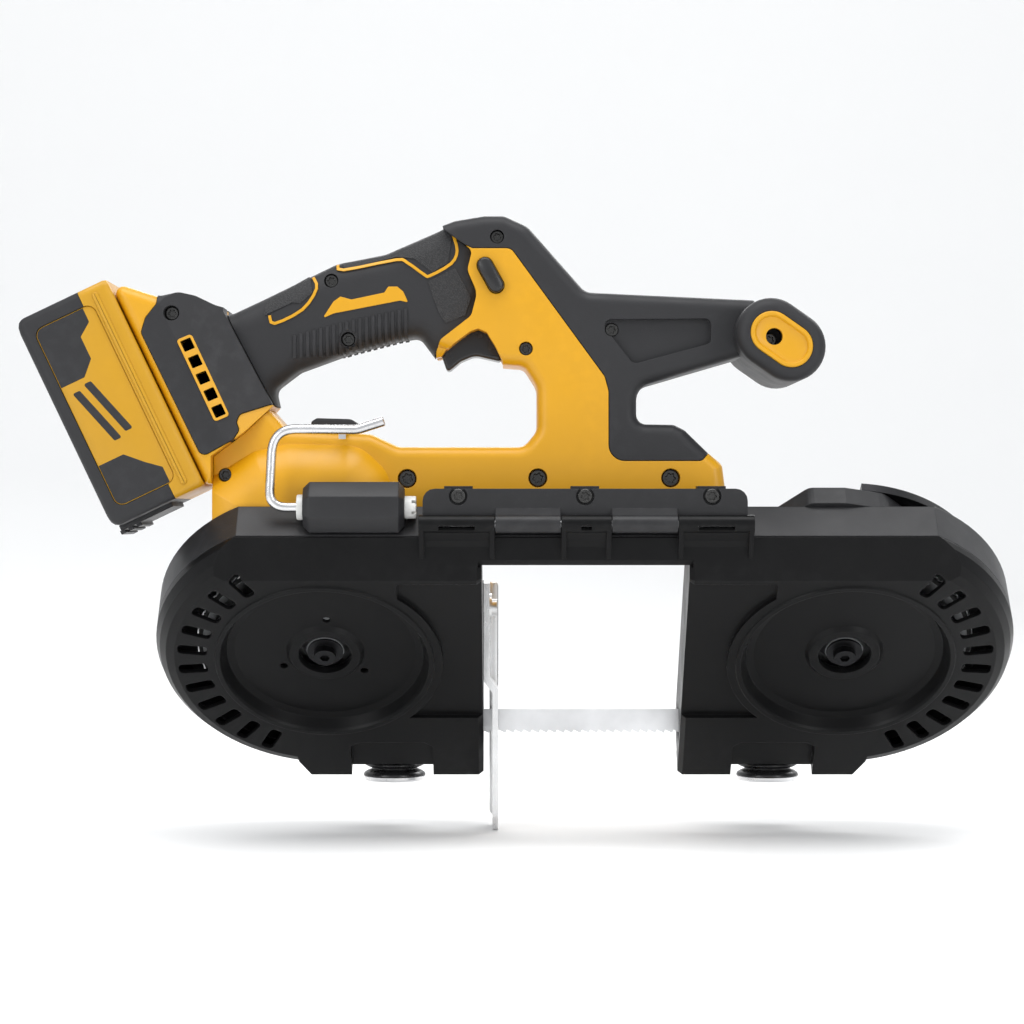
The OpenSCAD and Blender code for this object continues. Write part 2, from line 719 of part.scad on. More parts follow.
// Middle gear with its own pinion and shaft in one piece
module middle_gear() {
  to_drive = atan2(drive_at.y - middle_at.y, drive_at.x - middle_at.x);
  color("silver")
    leaning()
      translate([middle_at.x, middle_at.y, 0]) {
        translate([0, 0, first_low + first_wide])
          rotate([0, 0, to_drive + 180 / second_pinion_teeth])
            spur_gear(second_pinion_teeth, second_module, gear_low + gear_wide + 0.5 - first_low - first_wide, 0.9);
        translate([0, 0, first_low])
          rotate([0, 0, to_drive + 180 / second_pinion_teeth])
            spur_gear(middle_teeth, first_module, first_wide, 0.65);
        translate([0, 0, case_floor - 1.5]) cylinder(r = 3, h = small_bearing_h - frame_back - case_floor + 1);
      }
}
rotor_turn = middle_turn_at_motor();
// Angle of the motor pinion that puts a gap opposite the middle gear's tooth
function middle_turn_at_motor() =
  let (to_drive = atan2(drive_at.y - middle_at.y, drive_at.x - middle_at.x))
  let (to_motor = atan2(motor_at.y - middle_at.y, motor_at.x - middle_at.x))
  let (phase = (to_motor - (to_drive + 180 / second_pinion_teeth)) * middle_teeth / 360)
  let (back = 180 + to_motor)
  back + (0.5 + phase - floor(phase)) * 360 / pinion_teeth;
rotor_core_r = 11;
fan_r = 18.5;
fan_h = 4;
module motor_rotor() {
  color("silver")
    leaning()
      translate([motor_at.x, motor_at.y, 0]) {
        translate([0, 0, first_low - 0.5])
          rotate([0, 0, rotor_turn])
            spur_gear(pinion_teeth, first_module, first_wide + 1, 0.9);
        translate([0, 0, motor_front - motor_l + 1]) cylinder(r = 2.5, h = motor_l + first_low - motor_front + 2);
        translate([0, 0, motor_front - motor_l + 5]) cylinder(r = rotor_core_r, h = motor_l - fan_h - 13);
        // Cooling fan: a disc with straight blades
        translate([0, 0, motor_front - fan_h - 3]) {
          cylinder(r = fan_r, h = 1);
          translate([0, 0, 0.5]) linear_extrude(fan_h - 0.5) {
            circle(r = 5);
            for (i = [0:8]) rotate(40 * i) translate([4, -0.6]) square([fan_r - 4.5, 1.2]);
          }
        }
      }
}
module motor_stator() {
  color("dimgray")
    leaning()
      translate([motor_at.x, motor_at.y, motor_front])
        difference() {
          translate([0, 0, -motor_l]) cylinder(r = motor_r, h = motor_l);
          translate([0, 0, 2 - motor_l]) cylinder(r = rotor_core_r + 0.6, h = motor_l + over);
          translate([0, 0, -fan_h - 5]) cylinder(r = motor_r - 2.5, h = fan_h + 5 + over);
          translate([0, 0, -motor_l - over]) cylinder(r = 5.02, h = 10);
          // Air slots round the fan
          for (i = [0:7])
            rotate([0, 0, 45 * i]) translate([10, -2.5, -fan_h - 3]) cube([motor_r, 5, fan_h]);
        }
}
module shaft_bearings() {
  color("silver") leaning() {
    translate([drive_at.x, drive_at.y, -frame_back]) ring(bearing_r, axle_r + shaft_gap, bearing_h);
    translate([middle_at.x, middle_at.y, -frame_back]) ring(small_bearing_r, 3 + shaft_gap, small_bearing_h);
  }
}
module rotor_bearings() {
  color("silver") leaning() {
    translate([motor_at.x, motor_at.y, motor_front - motor_l + 0.3]) ring(5, 2.5 + shaft_gap, 1.7);
    translate([motor_at.x, motor_at.y, case_back]) ring(6, 2.5 + shaft_gap, case_floor - case_back);
  }
}
case_wall = 2.5;
module case_outline(inset) {
  translate(drive_at) circle(r = second_module * output_teeth / 2 + 5.5 - inset, $fn = 96);
  translate(middle_at) circle(r = first_module * middle_teeth / 2 + 5 - inset, $fn = 96);
  translate(motor_at) circle(r = motor_r - 1 - inset);
}
module gear_case() {
  color("dimgray")
    leaning()
      difference() {
        translate([0, 0, case_back]) linear_extrude(-frame_back - case_back) case_outline(0);
        translate([0, 0, case_floor]) linear_extrude(-frame_back - case_floor + over) case_outline(case_wall);
        translate([middle_at.x, middle_at.y, case_floor - 1.6]) cylinder(r = 3 + shaft_gap, h = 5);
        translate([drive_at.x, drive_at.y, case_floor - 1.6]) cylinder(r = journal_r + shaft_gap, h = 5);
        translate([motor_at.x, motor_at.y, case_back - over]) cylinder(r = 6.02, h = 10);
      }
}

// Tensioning gear behind the frame's right end
tension_depth = 11;
tension_floor = -frame_back - tension_depth;
lever_at = [wheel_x - 28, 38];
lever_t = 5;
lever_r = 76;
spring_r = 2.3;
spring_wire = 0.5;
spring_turns = 7;
spring_l = 14;
module tension_outline(inset) {
  polygon(outline([
    [wheel_x - 38, -24, 4], [wheel_x + 30, -24, 8], [wheel_x + 30, 62, 10], [wheel_x + 17, 74, 10],
    [wheel_x - 3, 78, 6], [wheel_x - 21, 78, 6], [wheel_x - 38, 62, 6]
  ], inset, 3));
}
module tension_housing() {
  color("dimgray")
    leaning()
      difference() {
        translate([0, 0, tension_floor]) linear_extrude(tension_depth) tension_outline(0);
        translate([0, 0, tension_floor + 2.5]) linear_extrude(tension_depth) difference() {
          tension_outline(2.5);
          // Runners either side of the carriage
          for (side = [-1, 1])
            translate([wheel_x, side * (carriage_w / 2 + 2.5 + run_gap)]) square([90, 5], center = true);
          translate(lever_at) circle(r = 7);
        }
        translate([lever_at.x, lever_at.y, tension_floor - over]) cylinder(r = 4 + shaft_gap, h = 10);
      }
}
module idler_carriage() {
  color("gray")
    leaning()
      translate([wheel_x, 0, 0])
        difference() {
          union() {
            translate([-16, -carriage_w / 2, -frame_back - 7.5]) cube([32, carriage_w, 7.2]);
            translate([0, 0, -frame_back - 1]) cylinder(r = axle_r, h = hub_top + run_gap + frame_back + 1);
            translate([0, 0, -frame_back - 1])
              cylinder(r = axle_r + 0.6, h = frame_back + 1 - rim_half - run_gap);
          }
          translate([0, 0, hub_top + run_gap - 12]) cylinder(r = 3, h = 13);
          // Pocket for the spring
          translate([-16.5, 0, -frame_back - 3.9]) rotate([0, 90, 0]) cylinder(r = spring_r + spring_wire + 0.35, h = spring_l + 1);
        }
}
// One unbroken coil of eight rings a turn, closed at both ends
function coil_ring(turn_angle, rise) = [
  for (k = [0:5])
    let (reach = spring_r + spring_wire * cos(60 * k))
    [reach * cos(turn_angle), reach * sin(turn_angle), rise + spring_wire * sin(60 * k)]
];
module coil_spring(turns, length) {
  steps = turns * 8;
  rings = [for (i = [0:steps]) coil_ring(45 * i, spring_wire + (length - 2 * spring_wire) * i / steps)];
  faces = [
    for (i = [0:steps - 1])
      for (k = [0:5])
        let (j = (k + 1) % 6)
        each [
          [i * 6 + k, (i + 1) * 6 + j, i * 6 + j],
          [i * 6 + k, (i + 1) * 6 + k, (i + 1) * 6 + j]
        ]
  ];
  polyhedron(
    points = [for (ring = rings) each ring],
    faces = concat(faces, [[for (k = [0:5]) k]], [[for (k = [5:-1:0]) steps * 6 + k]])
  );
}
echo(least_gap_in_spring = (spring_l - 2 * spring_wire) / spring_turns - 2 * spring_wire);
module tension_spring() {
  color("silver")
    leaning()
      translate([wheel_x - 16, 0, -frame_back - 3.9]) rotate([0, 90, 0]) coil_spring(spring_turns, spring_l);
}
// Curved lever that follows the housing's end
module tension_lever() {
  color("black")
    leaning()
      union() {
          translate([0, 0, tension_floor - run_gap - lever_t])
            linear_extrude(lever_t) {
              intersection() {
                translate([wheel_x, 0]) difference() {
                  circle(r = lever_r, $fn = 96);
                  circle(r = lever_r - 11, $fn = 96);
                }
                polygon([[wheel_x, 0], [wheel_x + 90, 24], [wheel_x + 90, 100], [wheel_x + 8, 100]]);
              }
              translate(lever_at) circle(r = 10);
              polygon([
                lever_at + [-4, 9], lever_at + [4, -9],
                [wheel_x + 20, 60], [wheel_x + 12, 73]
              ]);
            }
          translate([lever_at.x, lever_at.y, tension_floor - 1]) cylinder(r = 4, h = 8);
      }
}

// Blade: one toothed loop, twisted upright between the guides
loop_l = 2 * wheel_gap + 2 * PI * blade_r;
teeth = round(loop_l / tooth_pitch);
real_pitch = loop_l / teeth;
arc_l = PI * blade_r;
twist_from = 70;
// Lean of the blade's width along the lower run, 0 on the wheels and 1 between the guides
function upright_share(x) = let (t = max(0, min(1, (wheel_x - abs(x)) / (wheel_x - twist_from)))) t * t * (3 - 2 * t);
// Place and outward direction at distance s along the loop, on the lean plane as [x, u]
function loop_at(s) =
  s < wheel_gap ? [[s - wheel_x, -blade_r], [0, -1]] :
  s < wheel_gap + arc_l ? let (a = (s - wheel_gap) / blade_r * 180 / PI - 90)
    [[wheel_x + blade_r * cos(a), blade_r * sin(a)], [cos(a), sin(a)]] :
  s < 2 * wheel_gap + arc_l ? [[wheel_x - (s - wheel_gap - arc_l), blade_r], [0, 1]] :
  let (a = (s - 2 * wheel_gap - arc_l) / blade_r * 180 / PI + 90)
    [[blade_r * cos(a) - wheel_x, blade_r * sin(a)], [cos(a), sin(a)]];
function blade_ring(s, front) =
  let (place = loop_at(s), at = place[0], out = place[1])
  let (turn = s < wheel_gap ? -wheel_tilt * upright_share(at.x) : 0)
  let (half = blade_t / 2, back = -blade_w / 2)
  [
    for (c = [[-half, back], [half, back], [half, front], [-half, front]])
      // c.x lies along the outward direction and c.y across the blade
      let (o = c.x * cos(turn) - c.y * sin(turn), w = c.x * sin(turn) + c.y * cos(turn))
      [at.x + out.x * o, at.y + out.y * o, w]
  ];
module blade() {
  tip = blade_w / 2;
  stations = [
    for (i = [0:teeth - 1])
      each [[i * real_pitch, tip - tooth_depth], [(i + 0.8) * real_pitch, tip]]
  ];
  rings = [for (st = stations) blade_ring(st[0], st[1])];
  count = len(rings);
  faces = [
    for (i = [0:count - 1])
      for (k = [0:3])
        let (a = i * 4 + k, b = i * 4 + (k + 1) % 4)
        let (c = ((i + 1) % count) * 4 + (k + 1) % 4, d = ((i + 1) % count) * 4 + k)
        each [[a, b, c], [a, c, d]]
  ];
  color("silver") leaning() polyhedron(points = [for (ring = rings) each ring], faces = faces);
}

// Blade guides: steel blocks with carbide faces on both sides of the blade, inside the throat walls
roller_r = 6;
roller_t = 4;
roller_z = blade_z + blade_w / 2 + roller_r + 0.1;
guide_w = 9;
guide_gap = 0.15;
module guide_block(x) {
  standing()
    difference() {
      translate([x - guide_w / 2, 0, 0])
        along_x(0, guide_w)
          polygon([
            [blade_y - 7, blade_z - 5], [blade_y + 7, blade_z - 5],
            [blade_y + 7, plate_z(blade_y + 7)], [blade_y - 13, plate_z(blade_y - 13)],
            [blade_y - 13, blade_z + 20], [blade_y - 7, blade_z + 12]
          ]);
      translate([x - guide_w, blade_y - blade_t / 2 - guide_gap, blade_z - 20])
        cube([2 * guide_w, blade_t + 2 * guide_gap, 20 + blade_w / 2 + 2]);
      translate([x - guide_w, blade_y - roller_t / 2 - run_gap, roller_z - roller_r - 0.6])
        cube([2 * guide_w, roller_t + 2 * run_gap, 2 * roller_r + 1.2]);
    }
  standing() translate([x, blade_y - 6, roller_z]) rotate([-90, 0, 0]) cylinder(r = 1.5, h = 12);
}
// Height of the frame's inner back face over a point of the standing frame
function plate_z(y) = -lean_low - y;
lean_low = (frame_wall - frame_back) / cos(wheel_tilt);
module blade_guides() {
  color("gray") {
    guide_block(guide_left);
    guide_block(guide_right);
  }
}
module guide_roller(x) {
  standing()
    translate([x, blade_y - roller_t / 2, roller_z])
      rotate([-90, 0, 0]) ring(roller_r, 1.5 + shaft_gap, roller_t);
}
module rear_roller() color("silver") guide_roller(guide_left);
module front_roller() color("silver") guide_roller(guide_right);

// Shoe: a joggled steel plate that the work bears against, with slots for its screws and the blade
shoe_travel = 16;
shoe_top = 27;
shoe_near = 26;
shoe_far = 62;
shoe_screw_y = 38;
shoe_screw_z = [14];
joggle_z = -24;
module shoe() {
  wall = throat_left + run_gap;
  out = throat_left + run_gap + shoe_w;
  color("silver")
    standing()
      difference() {
        translate([0, shoe_far, 0])
          rotate([90, 0, 0])
            linear_extrude(shoe_far - shoe_near)
              polygon([
                [wall, shoe_top], [wall, joggle_z], [out - shoe_t, joggle_z - 6], [out - shoe_t, -shoe_drop],
                [out, -shoe_drop], [out, joggle_z - 4.5], [wall + shoe_t, joggle_z + 1.5], [wall + shoe_t, shoe_top]
              ]);
        // Slot for the screw
        translate([wall - over, shoe_screw_y, shoe_screw_z[0]])
          rotate([0, 90, 0])
            linear_extrude(shoe_t + 2 * over) {
              circle(r = 2.7);
              translate([0, -2.7]) square([shoe_travel, 5.4]);
              translate([shoe_travel, 0]) circle(r = 2.7);
            }
        // Window that the blade runs through
        translate([wall - over, blade_y - 2.5, blade_z - blade_w / 2 - 3 - shoe_travel])
          cube([shoe_w + 2 * over, 5, blade_w + 6 + shoe_travel]);
        // Rounded toe
        for (side = [0, 1])
          translate([0, side == 0 ? shoe_near : shoe_far, -shoe_drop])
            mirror([0, side, 0])
              difference() {
                translate([-100, -over, -over]) cube([100, 9, 9]);
                translate([-101, 8, 8]) rotate([0, 90, 0]) cylinder(r = 8, h = 102);
              }
      }
}
module shoe_screw() {
  color("silver")
    standing()
      translate([throat_left + run_gap + shoe_t, shoe_screw_y, shoe_screw_z[0]])
        rotate([0, 90, 0]) {
          ring(7.5, 2.45, 1.2);
          translate([0, 0, 1.2]) cap_screw(2.4, 14, 4.6, 2.6, 2);
        }
}

// Side outlines of the handle in [x, z], taken round each region with some room past its joints.
// The joints themselves are the shared lines below, and cut the regions apart.
grip_to_body = [[-72, 216], [-72, 207], [-57, 196], [-59.5, 186], [-54.5, 175], [-57.5, 163], [-73, 151], [-76, 143], [-76, 130]];
meeting = [-157, 117.5];
grip_to_foot = [[-182, 176], [-182, 165], meeting];
foot_to_body = [meeting, [-171, 104], [-187, 92], [-187, -60]];
under_grip = [[-100, 118], [-150, 117.5]];
body_corners = [
  [-190, 24, 3], [throat_left - 6.5, 24, 3], [throat_left - 6.5, throat_top, 3], [70.5, throat_top, 4], [70.5, 76, 4], [69, 88, 5], [61.3, 94.5, 3],
  [50, 105.5, 6], [44.5, 108.2, 5], [25.7, 108.5, 5], [25.7, 127, 9], [77, 142, 4], [86, 144, 2], [86, 171, 2],
  [0, 175, 8], [-29, 208, 12], [-41, 213.5, 8], [-51, 213.5, 8], [-66, 211, 8], [-84, 204, 4], [-90, 190, 4],
  [-90, 152, 3], [-43, 138.5, 4], [-31, 137.5, 5], [-24.4, 127, 10], [-24.4, 105, 9], [-31, 97, 7], [-94, 97, 8],
  [-108, 103.5, 10], [-150, 105.5, 4], [-162, 119, 2], [-192, 102, 2]
];
grip_corners = [
  [-200, 160, 3], [-185, 90, 3], [-150, 92, 3], [-157.5, 126, 5], [-145, 135.5, 12], [-119, 145, 14],
  [-94, 151.5, 10], [-84, 153, 5], [-75, 141, 3], [-50, 141, 3], [-50, 212, 3], [-70, 208.5, 6], [-101, 195, 16],
  [-126, 190, 14], [-163, 172, 14], [-178, 165, 10]
];
foot_corners = [
  [seat_point(0, -pack_l / 2).x, seat_point(0, -pack_l / 2).y, 3], [-172, 80, 4], [-151, 104, 4],
  [-166, 156, 10], [-172, 174, 6], [-203, 172.5, 10], [-213, 173.5, 6],
  [seat_point(0, pack_l / 2 - 1).x, seat_point(0, pack_l / 2 - 1).y, 4]
];
spine_corners = [
  [11.7, 90, 8], [58.5, 90, 3], [63, 95, 2], [90, 80, 2], [110, 190, 4], [0, 190, 4], [-20, 222, 4], [-90, 222, 4],
  [-76, 206, 2], [-57, 197, 2], [-37.5, 197, 5], [9.7, 132.4, 5], [11.7, 125, 5]
];
module region(points, height = 60) translate([0, 0, -5 * over]) linear_extrude(height + 5 * over) polygon(points);
module grip_mask() {
  region(concat(
    grip_to_body,
    under_grip,
    [for (i = [len(grip_to_foot) - 1:-1:0]) grip_to_foot[i]],
    [[-182, 230], [-72, 230]]
  ));
}
module foot_mask() {
  region(concat(
    grip_to_foot,
    [for (i = [1:len(foot_to_body) - 1]) foot_to_body[i]],
    [[-300, -60], [-300, 230], [-182, 230]]
  ));
}
module rear_mask() {
  region(concat(grip_to_body, under_grip, foot_to_body, [[-300, -60], [-300, 230], [-72, 230]]));
}
module spine_mask() region(outline(spine_corners, 0, 4));

// Motor and gear bulge at the rear of the body, on both sides
bulge_corners = [
  [-197, 21, 8], [-96, 21, 8], [-96, 84, 10], [-112, 99, 14], [-150, 100, 14], [-168, 96.5, 8], [-197, 79, 8]
];
module body_form() {
  half_moulding(body_corners, body_half, body_round, 2);
  translate([0, 0, 8]) half_moulding(bulge_corners, bulge_half - 8, 12, 3);
}
screw_at = [[-44.5, 202.7], [-30, 146.4], [-128.3, 181], [-119.8, 151.5], [-181, 82.8], [13.2, 156], [-207, 163.5]];
bolt_at = [[-89.7, 81], [-24, 81.3], [42.8, 81.3]];
boss_r = 4.5;
head_r = 2.9;
bolt_head_r = 4.3;

// Rooms inside the shells, drawn for the near half
room_end = 9;
module body_room() {
  translate([0, 0, -over])
    linear_extrude(body_half - shell_wall + over)
      difference() {
        polygon(outline(body_corners, shell_wall, 1));
        translate([room_end, 92]) square([200, 200]);
      }
  translate([0, 0, -over]) linear_extrude(bulge_half - shell_wall + over) polygon(outline(bulge_corners, shell_wall + 1, 1));
}
module screw_bosses(places, r, height) {
  for (p = places) translate([p.x, p.y, -4 * over]) cylinder(r = r, h = height + 4 * over);
}
// Outer face that a screw is sunk into
function screw_face(p) = p.x < -190 ? 29 : p.y > 140 && p.x < -100 ? grip_half : p.x < -170 ? bulge_half : body_half;
// Holes for a row of screws: heads sunk in the near half, pilots in the far half
module screw_holes(places, shank_r, head, near) {
  for (p = places)
    translate([p.x, p.y, 0]) {
      translate([0, 0, -3 * over]) cylinder(r = near ? shank_r + 0.15 : shank_r + 0.05, h = near ? 60 : 14 + 3 * over);
      if (near) translate([0, 0, screw_face(p) - 4]) cylinder(r = head + 0.4, h = 70);
    }
}
shank_r = 1.75;
bolt_r = 2.5;
module lock_hole(gap) {
  translate([0, 0, -2 * over])
    linear_extrude(80)
      obround(lock_at, lock_turn, lock_stretch, lock_r + gap);
}
module obround(at, turn, stretch, r) {
  translate(at) rotate(turn) {
    square([stretch, 2 * r], center = true);
    for (side = [-1, 1]) translate([side * stretch / 2, 0]) circle(r = r);
  }
}
lock_at = [-47.8, 183.2];
lock_turn = -61;
lock_stretch = 11.5;
lock_r = 3.9;

trigger_half = 7.5;
trigger_pull = [-0.45, 0.893];
trigger_travel = 6;
trigger_corners = [
  [-69.5, 135.3, 1.5], [-62, 140.8, 6], [-56, 144, 8], [-43, 141.2, 1.5], [-41.5, 145, 1], [-47, 155, 2],
  [-70, 155, 2], [-74, 146, 3]
];
trigger_moved = trigger_pull * trigger_travel;
well_corners = concat(
  [for (i = [0:5]) trigger_corners[i]],
  [for (i = [5:7]) [trigger_corners[i].x + trigger_moved.x, trigger_corners[i].y + trigger_moved.y, 1]],
  [trigger_corners[7]]
);
module trigger_well() {
  translate([0, 0, -1.5 * over]) linear_extrude(trigger_half + run_gap + 1.5 * over) polygon(outline(well_corners, -0.6, 1));
}

module near_half(near) {
  upright() mirror([0, 0, near ? 0 : 1]) children();
}
module behind_frame(gap = 0) {
  leaning() translate([-400, -400, -frame_back - gap - 800]) cube([800, 800, 800]);
}
module body_half_solid(near) {
  difference() {
    intersection() {
      near_half(near) difference() {
        difference() {
          difference() {
            body_form();
            difference() {
              body_room();
              screw_bosses(screw_at, boss_r, bulge_half);
              screw_bosses(bolt_at, boss_r + 1.5, body_half);
            }
          }
          rear_mask();
        }
        screw_holes(screw_at, shank_r, head_r, near);
        screw_holes(bolt_at, bolt_r, bolt_head_r, near);
        lock_hole(0.2);
        trigger_well();
      }
      behind_frame();
    }
    leaning() translate([0, 0, case_back - run_gap]) linear_extrude(60) case_outline(-run_gap);
    standing() for (x = lug_x)
      translate([x - 8, lug_near, 30]) cube([16, lug_far - lug_near + 1, 60]);
  }
}
module body_shell(near) {
  difference() {
    body_half_solid(near);
    near_half(near) spine_mask();
  }
}
recess_corners = [[6.5, 161, 3], [24, 138.5, 4], [63, 149, 3], [63, 161.5, 3]];
module spine(near) {
  difference() {
    intersection() {
      body_half_solid(near);
      near_half(near) spine_mask();
    }
    near_half(near) translate([0, 0, body_half - 4]) linear_extrude(20) polygon(outline(recess_corners, 0, 3));
    upright() bar_solid(0.02);
  }
}
module body_shell_near() color("gold") body_shell(true);
module body_shell_far() color("gold") body_shell(false);
module spine_near() color("dimgray") spine(true);
module spine_far() color("dimgray") spine(false);

module grip(near) {
  near_half(near)
    difference() {
      difference() {
        intersection() {
          half_moulding(grip_corners, grip_half, grip_round, 3);
          grip_mask();
        }
        difference() {
          translate([0, 0, -over])
            linear_extrude(grip_half - 4 + over) polygon(outline(grip_corners, 7, 1));
          screw_bosses(screw_at, boss_r, grip_half);
        }
      }
      screw_holes(screw_at, shank_r, head_r, near);
      trigger_well();
    }
}
module grip_near() color("dimgray") grip(true);
module grip_far() color("dimgray") grip(false);

rail_h = 10;
rail_half = 26;
foot_depth = 22;
module foot(near) {
  near_half(near)
    difference() {
      intersection() {
        half_moulding(foot_corners, foot_half, body_round, 3);
        foot_mask();
        translate([seat_x, seat_z, 0]) rotate([0, 0, seat_turn])
          translate([0, 120, 0]) rotate([90, 0, 0]) linear_extrude(240)
            polygon([[0, -1], [90, -1], [90, 17], [52, 20], [16, foot_half + 1], [0, foot_half + 1]]);
      }
      translate([seat_x, seat_z, 0]) rotate([0, 0, seat_turn]) {
        translate([-over, -48, -over]) cube([rail_h + run_gap + over, 130, rail_half + run_gap + over]);
        translate([rail_h - over, -40, -over]) cube([foot_depth - rail_h, 80, 21 + over]);
      }
      // Passage from the foot to the grip
      translate([-168, 140, -over]) rotate([0, 0, seat_turn]) translate([-32, -14, 0]) cube([50, 26, 12]);
      screw_holes(screw_at, shank_r, head_r, near);
      vent_slots(near);
    }
}
vent_start = [-196.5, 151.5];
vent_end = [-177.6, 110.8];
vent_count = 5;
module vent_slots(near) {
  for (i = [0:vent_count - 1]) {
    at = vent_start + (vent_end - vent_start) * (i + 0.5) / vent_count;
    translate([at.x, at.y, 12]) rotate([0, 0, seat_turn]) translate([-2, -3.2, 0]) cube([4, 6.4, 40]);
  }
}
module foot_near() color("gold") foot(true);
module foot_far() color("gold") foot(false);

// Crosswise front bar
bar_at = [98, 151];
bar_turn = -35;
module bar_solid(gap) {
  translate([bar_at.x, bar_at.y, 0]) rotate([0, 0, bar_turn]) {
    r = bar_w / 2;
    corners = [
      for (c = [[-1, -1], [1, -1], [1, 1], [-1, 1]])
        [c.x * (bar_stretch / 2 + r + gap), c.y * (r + gap), r + gap]
    ];
    half_moulding(corners, bar_l / 2, 7, 5);
    mirror([0, 0, 1]) half_moulding(corners, bar_l / 2, 7, 5);
  }
}
cap_r = 11.5;
cap_depth = 5;
module front_bar() {
  color("dimgray")
    upright() difference() {
      bar_solid(0);
      for (near = [0, 1])
        mirror([0, 0, near]) translate([0, 0, bar_l / 2 - cap_depth]) linear_extrude(20)
          obround(bar_at, bar_turn, bar_stretch, cap_r);
      translate([bar_at.x, bar_at.y, -bar_l]) cylinder(r = 4.6, h = 2 * bar_l);
    }
}
module bar_caps() {
  color("gold")
    upright() for (near = [0, 1])
      mirror([0, 0, near]) translate([0, 0, bar_l / 2 - cap_depth])
        difference() {
          linear_extrude(cap_depth + 0.8) obround(bar_at, bar_turn, bar_stretch, cap_r - 0.02);
          translate([0, 0, 3]) linear_extrude(20) obround(bar_at, bar_turn, bar_stretch, cap_r - 2.6);
          translate([bar_at.x, bar_at.y, -over]) cylinder(r = 4.5, h = 20);
        }
}

module shell_screws() {
  color("black")
    upright()
      for (p = screw_at)
        translate([p.x, p.y, screw_face(p) - 4]) cap_screw(shank_r, screw_face(p) + 8, head_r, 2.4, 1.5);
}
module body_bolts() {
  color("black")
    upright() for (p = bolt_at) translate([p.x, p.y, body_half - 4]) cap_screw(bolt_r, body_half + 8, bolt_head_r, 3.2, 2);
}

module trigger() {
  color("black")
    upright() {
      translate([0, 0, -trigger_half]) linear_extrude(2 * trigger_half) polygon(outline(trigger_corners, 0, 4));
      translate([-58, 150, 0])
        rotate([0, 0, atan2(trigger_pull.y, trigger_pull.x)])
          rotate([0, 90, 0])
            cylinder(r = 2.5, h = 14);
    }
}
module trigger_switch() {
  color("dimgray")
    upright() difference() {
      translate([-88, 163, 4.3 - grip_half]) cube([30.6, 16, 2 * grip_half - 8.6]);
      translate([-58, 150, 0])
        rotate([0, 0, atan2(trigger_pull.y, trigger_pull.x)])
          rotate([0, 90, 0])
            cylinder(r = 2.8, h = 26);
    }
}
button_out = 2;
button_travel = 4;
module lock_off_button() {
  color("black")
    upright()
      translate([0, 0, -body_half + button_out])
        linear_extrude(2 * body_half) obround(lock_at, lock_turn, lock_stretch, lock_r);
}
module control_board() {
  color("darkgreen") upright() translate([-8, 48, -body_half + shell_wall]) cube([40, 24, 11]);
}
module terminal_block() {
  color("black")
    on_seat() {
      translate([rail_h + 0.6, -20, -20.8]) cube([7, 40, 41.6]);
      for (side = [-1, 1]) translate([3, -12, side * 9 - 0.4]) cube([8.6, 14, 0.8]);
    }
}

// Rafter hook: a steel rod bent in one plane, turning in its housing
rod_r = 2.5;
hook_bend = 9;
hook_turn_x = -147;
hook_points = [[hook_turn_x + 2, hook_z], [-157, hook_z], [-155, 105.2], [-113.5, 104.8], [-100.5, 109]];
housing_left = -138;
housing_right = -90;
bushing_r = 6.3;
module hook() {
  color("silver") upright() translate([0, 0, -hook_y]) {
    bent_rod(hook_points, rod_r - 0.03, hook_bend);
    translate([hook_turn_x, hook_z, 0]) rotate([0, 90, 0]) cylinder(r = rod_r, h = housing_right + 6 - hook_turn_x);
  }
}
module hook_housing() {
  color("dimgray")
    difference() {
      standing()
        translate([housing_left, hook_y, hook_z])
          rotate([0, 90, 0])
            rotate([0, 0, 22.5])
              cylinder(r = housing_r / cos(22.5), h = housing_right - housing_left, $fn = 8);
      // Seated on the frame's sloping top, clear of the body's bulge
      leaning() translate([-300, -200, -100]) cube([600, 200 + frame_top, 200]);
      standing() translate([-300, -bulge_half - 0.3, -100]) cube([600, 200, 400]);
      standing() translate([-300, hook_y, hook_z]) rotate([0, 90, 0]) cylinder(r = rod_r + shaft_gap, h = 600);
    }
}
module hook_bushings() {
  color("white")
    standing() for (x = [housing_left - 3, housing_right])
      translate([x, hook_y, hook_z]) rotate([0, 90, 0]) ring(bushing_r, rod_r + shaft_gap, 3);
}
module hook_clip() {
  color("gray")
    standing() {
      translate([-122.75, hook_y + rod_r + run_gap, 104.3]) cube([3.5, -hook_y - rod_r - run_gap - 14.3, 2]);
      translate([-122.75, hook_y + rod_r + run_gap, 100.3]) cube([3.5, 2, 5]);
    }
}
module top_pad() {
  color("black")
    upright()
      translate([0, 0, -14]) linear_extrude(28)
        polygon(outline([[-137, 104.95, 0.3], [-114, 103.85, 0.3], [-116, 106.8, 1.5], [-135, 107.6, 1.5]], 0, 3));
}

// Battery pack, drawn from its seat: x out of the seat, y along the slide, z across
module battery_case() {
  color("dimgray")
    on_seat()
      difference() {
        union() {
          translate([-pack_h, 0, 0]) rotate([0, 90, 0]) pack_block(pack_h - run_gap);
          translate([-2, -45, -rail_half]) cube([rail_h + 2, 76, 2 * rail_half]);
        }
        // Room for the cells
        translate([-pack_h + 3, -pack_l / 2 + 4, -pack_w / 2 + 4]) cube([pack_h - 8, pack_l - 10, pack_w - 8]);
        // Slots for the terminals
        for (side = [-1, 1]) translate([1.5, -46, side * 9 - 1]) cube([20, 50, 2]);
        // Sunk panels on both broad sides
        for (side = [0, 1])
          mirror([0, 0, side]) translate([0, 0, pack_w / 2 - 1.2]) linear_extrude(10) polygon(outline(panel_corners, 0, 3));
        translate([-pack_h + 16, pack_l / 2 - 4.5, -10]) cube([14, 20, 20]);
      }
}
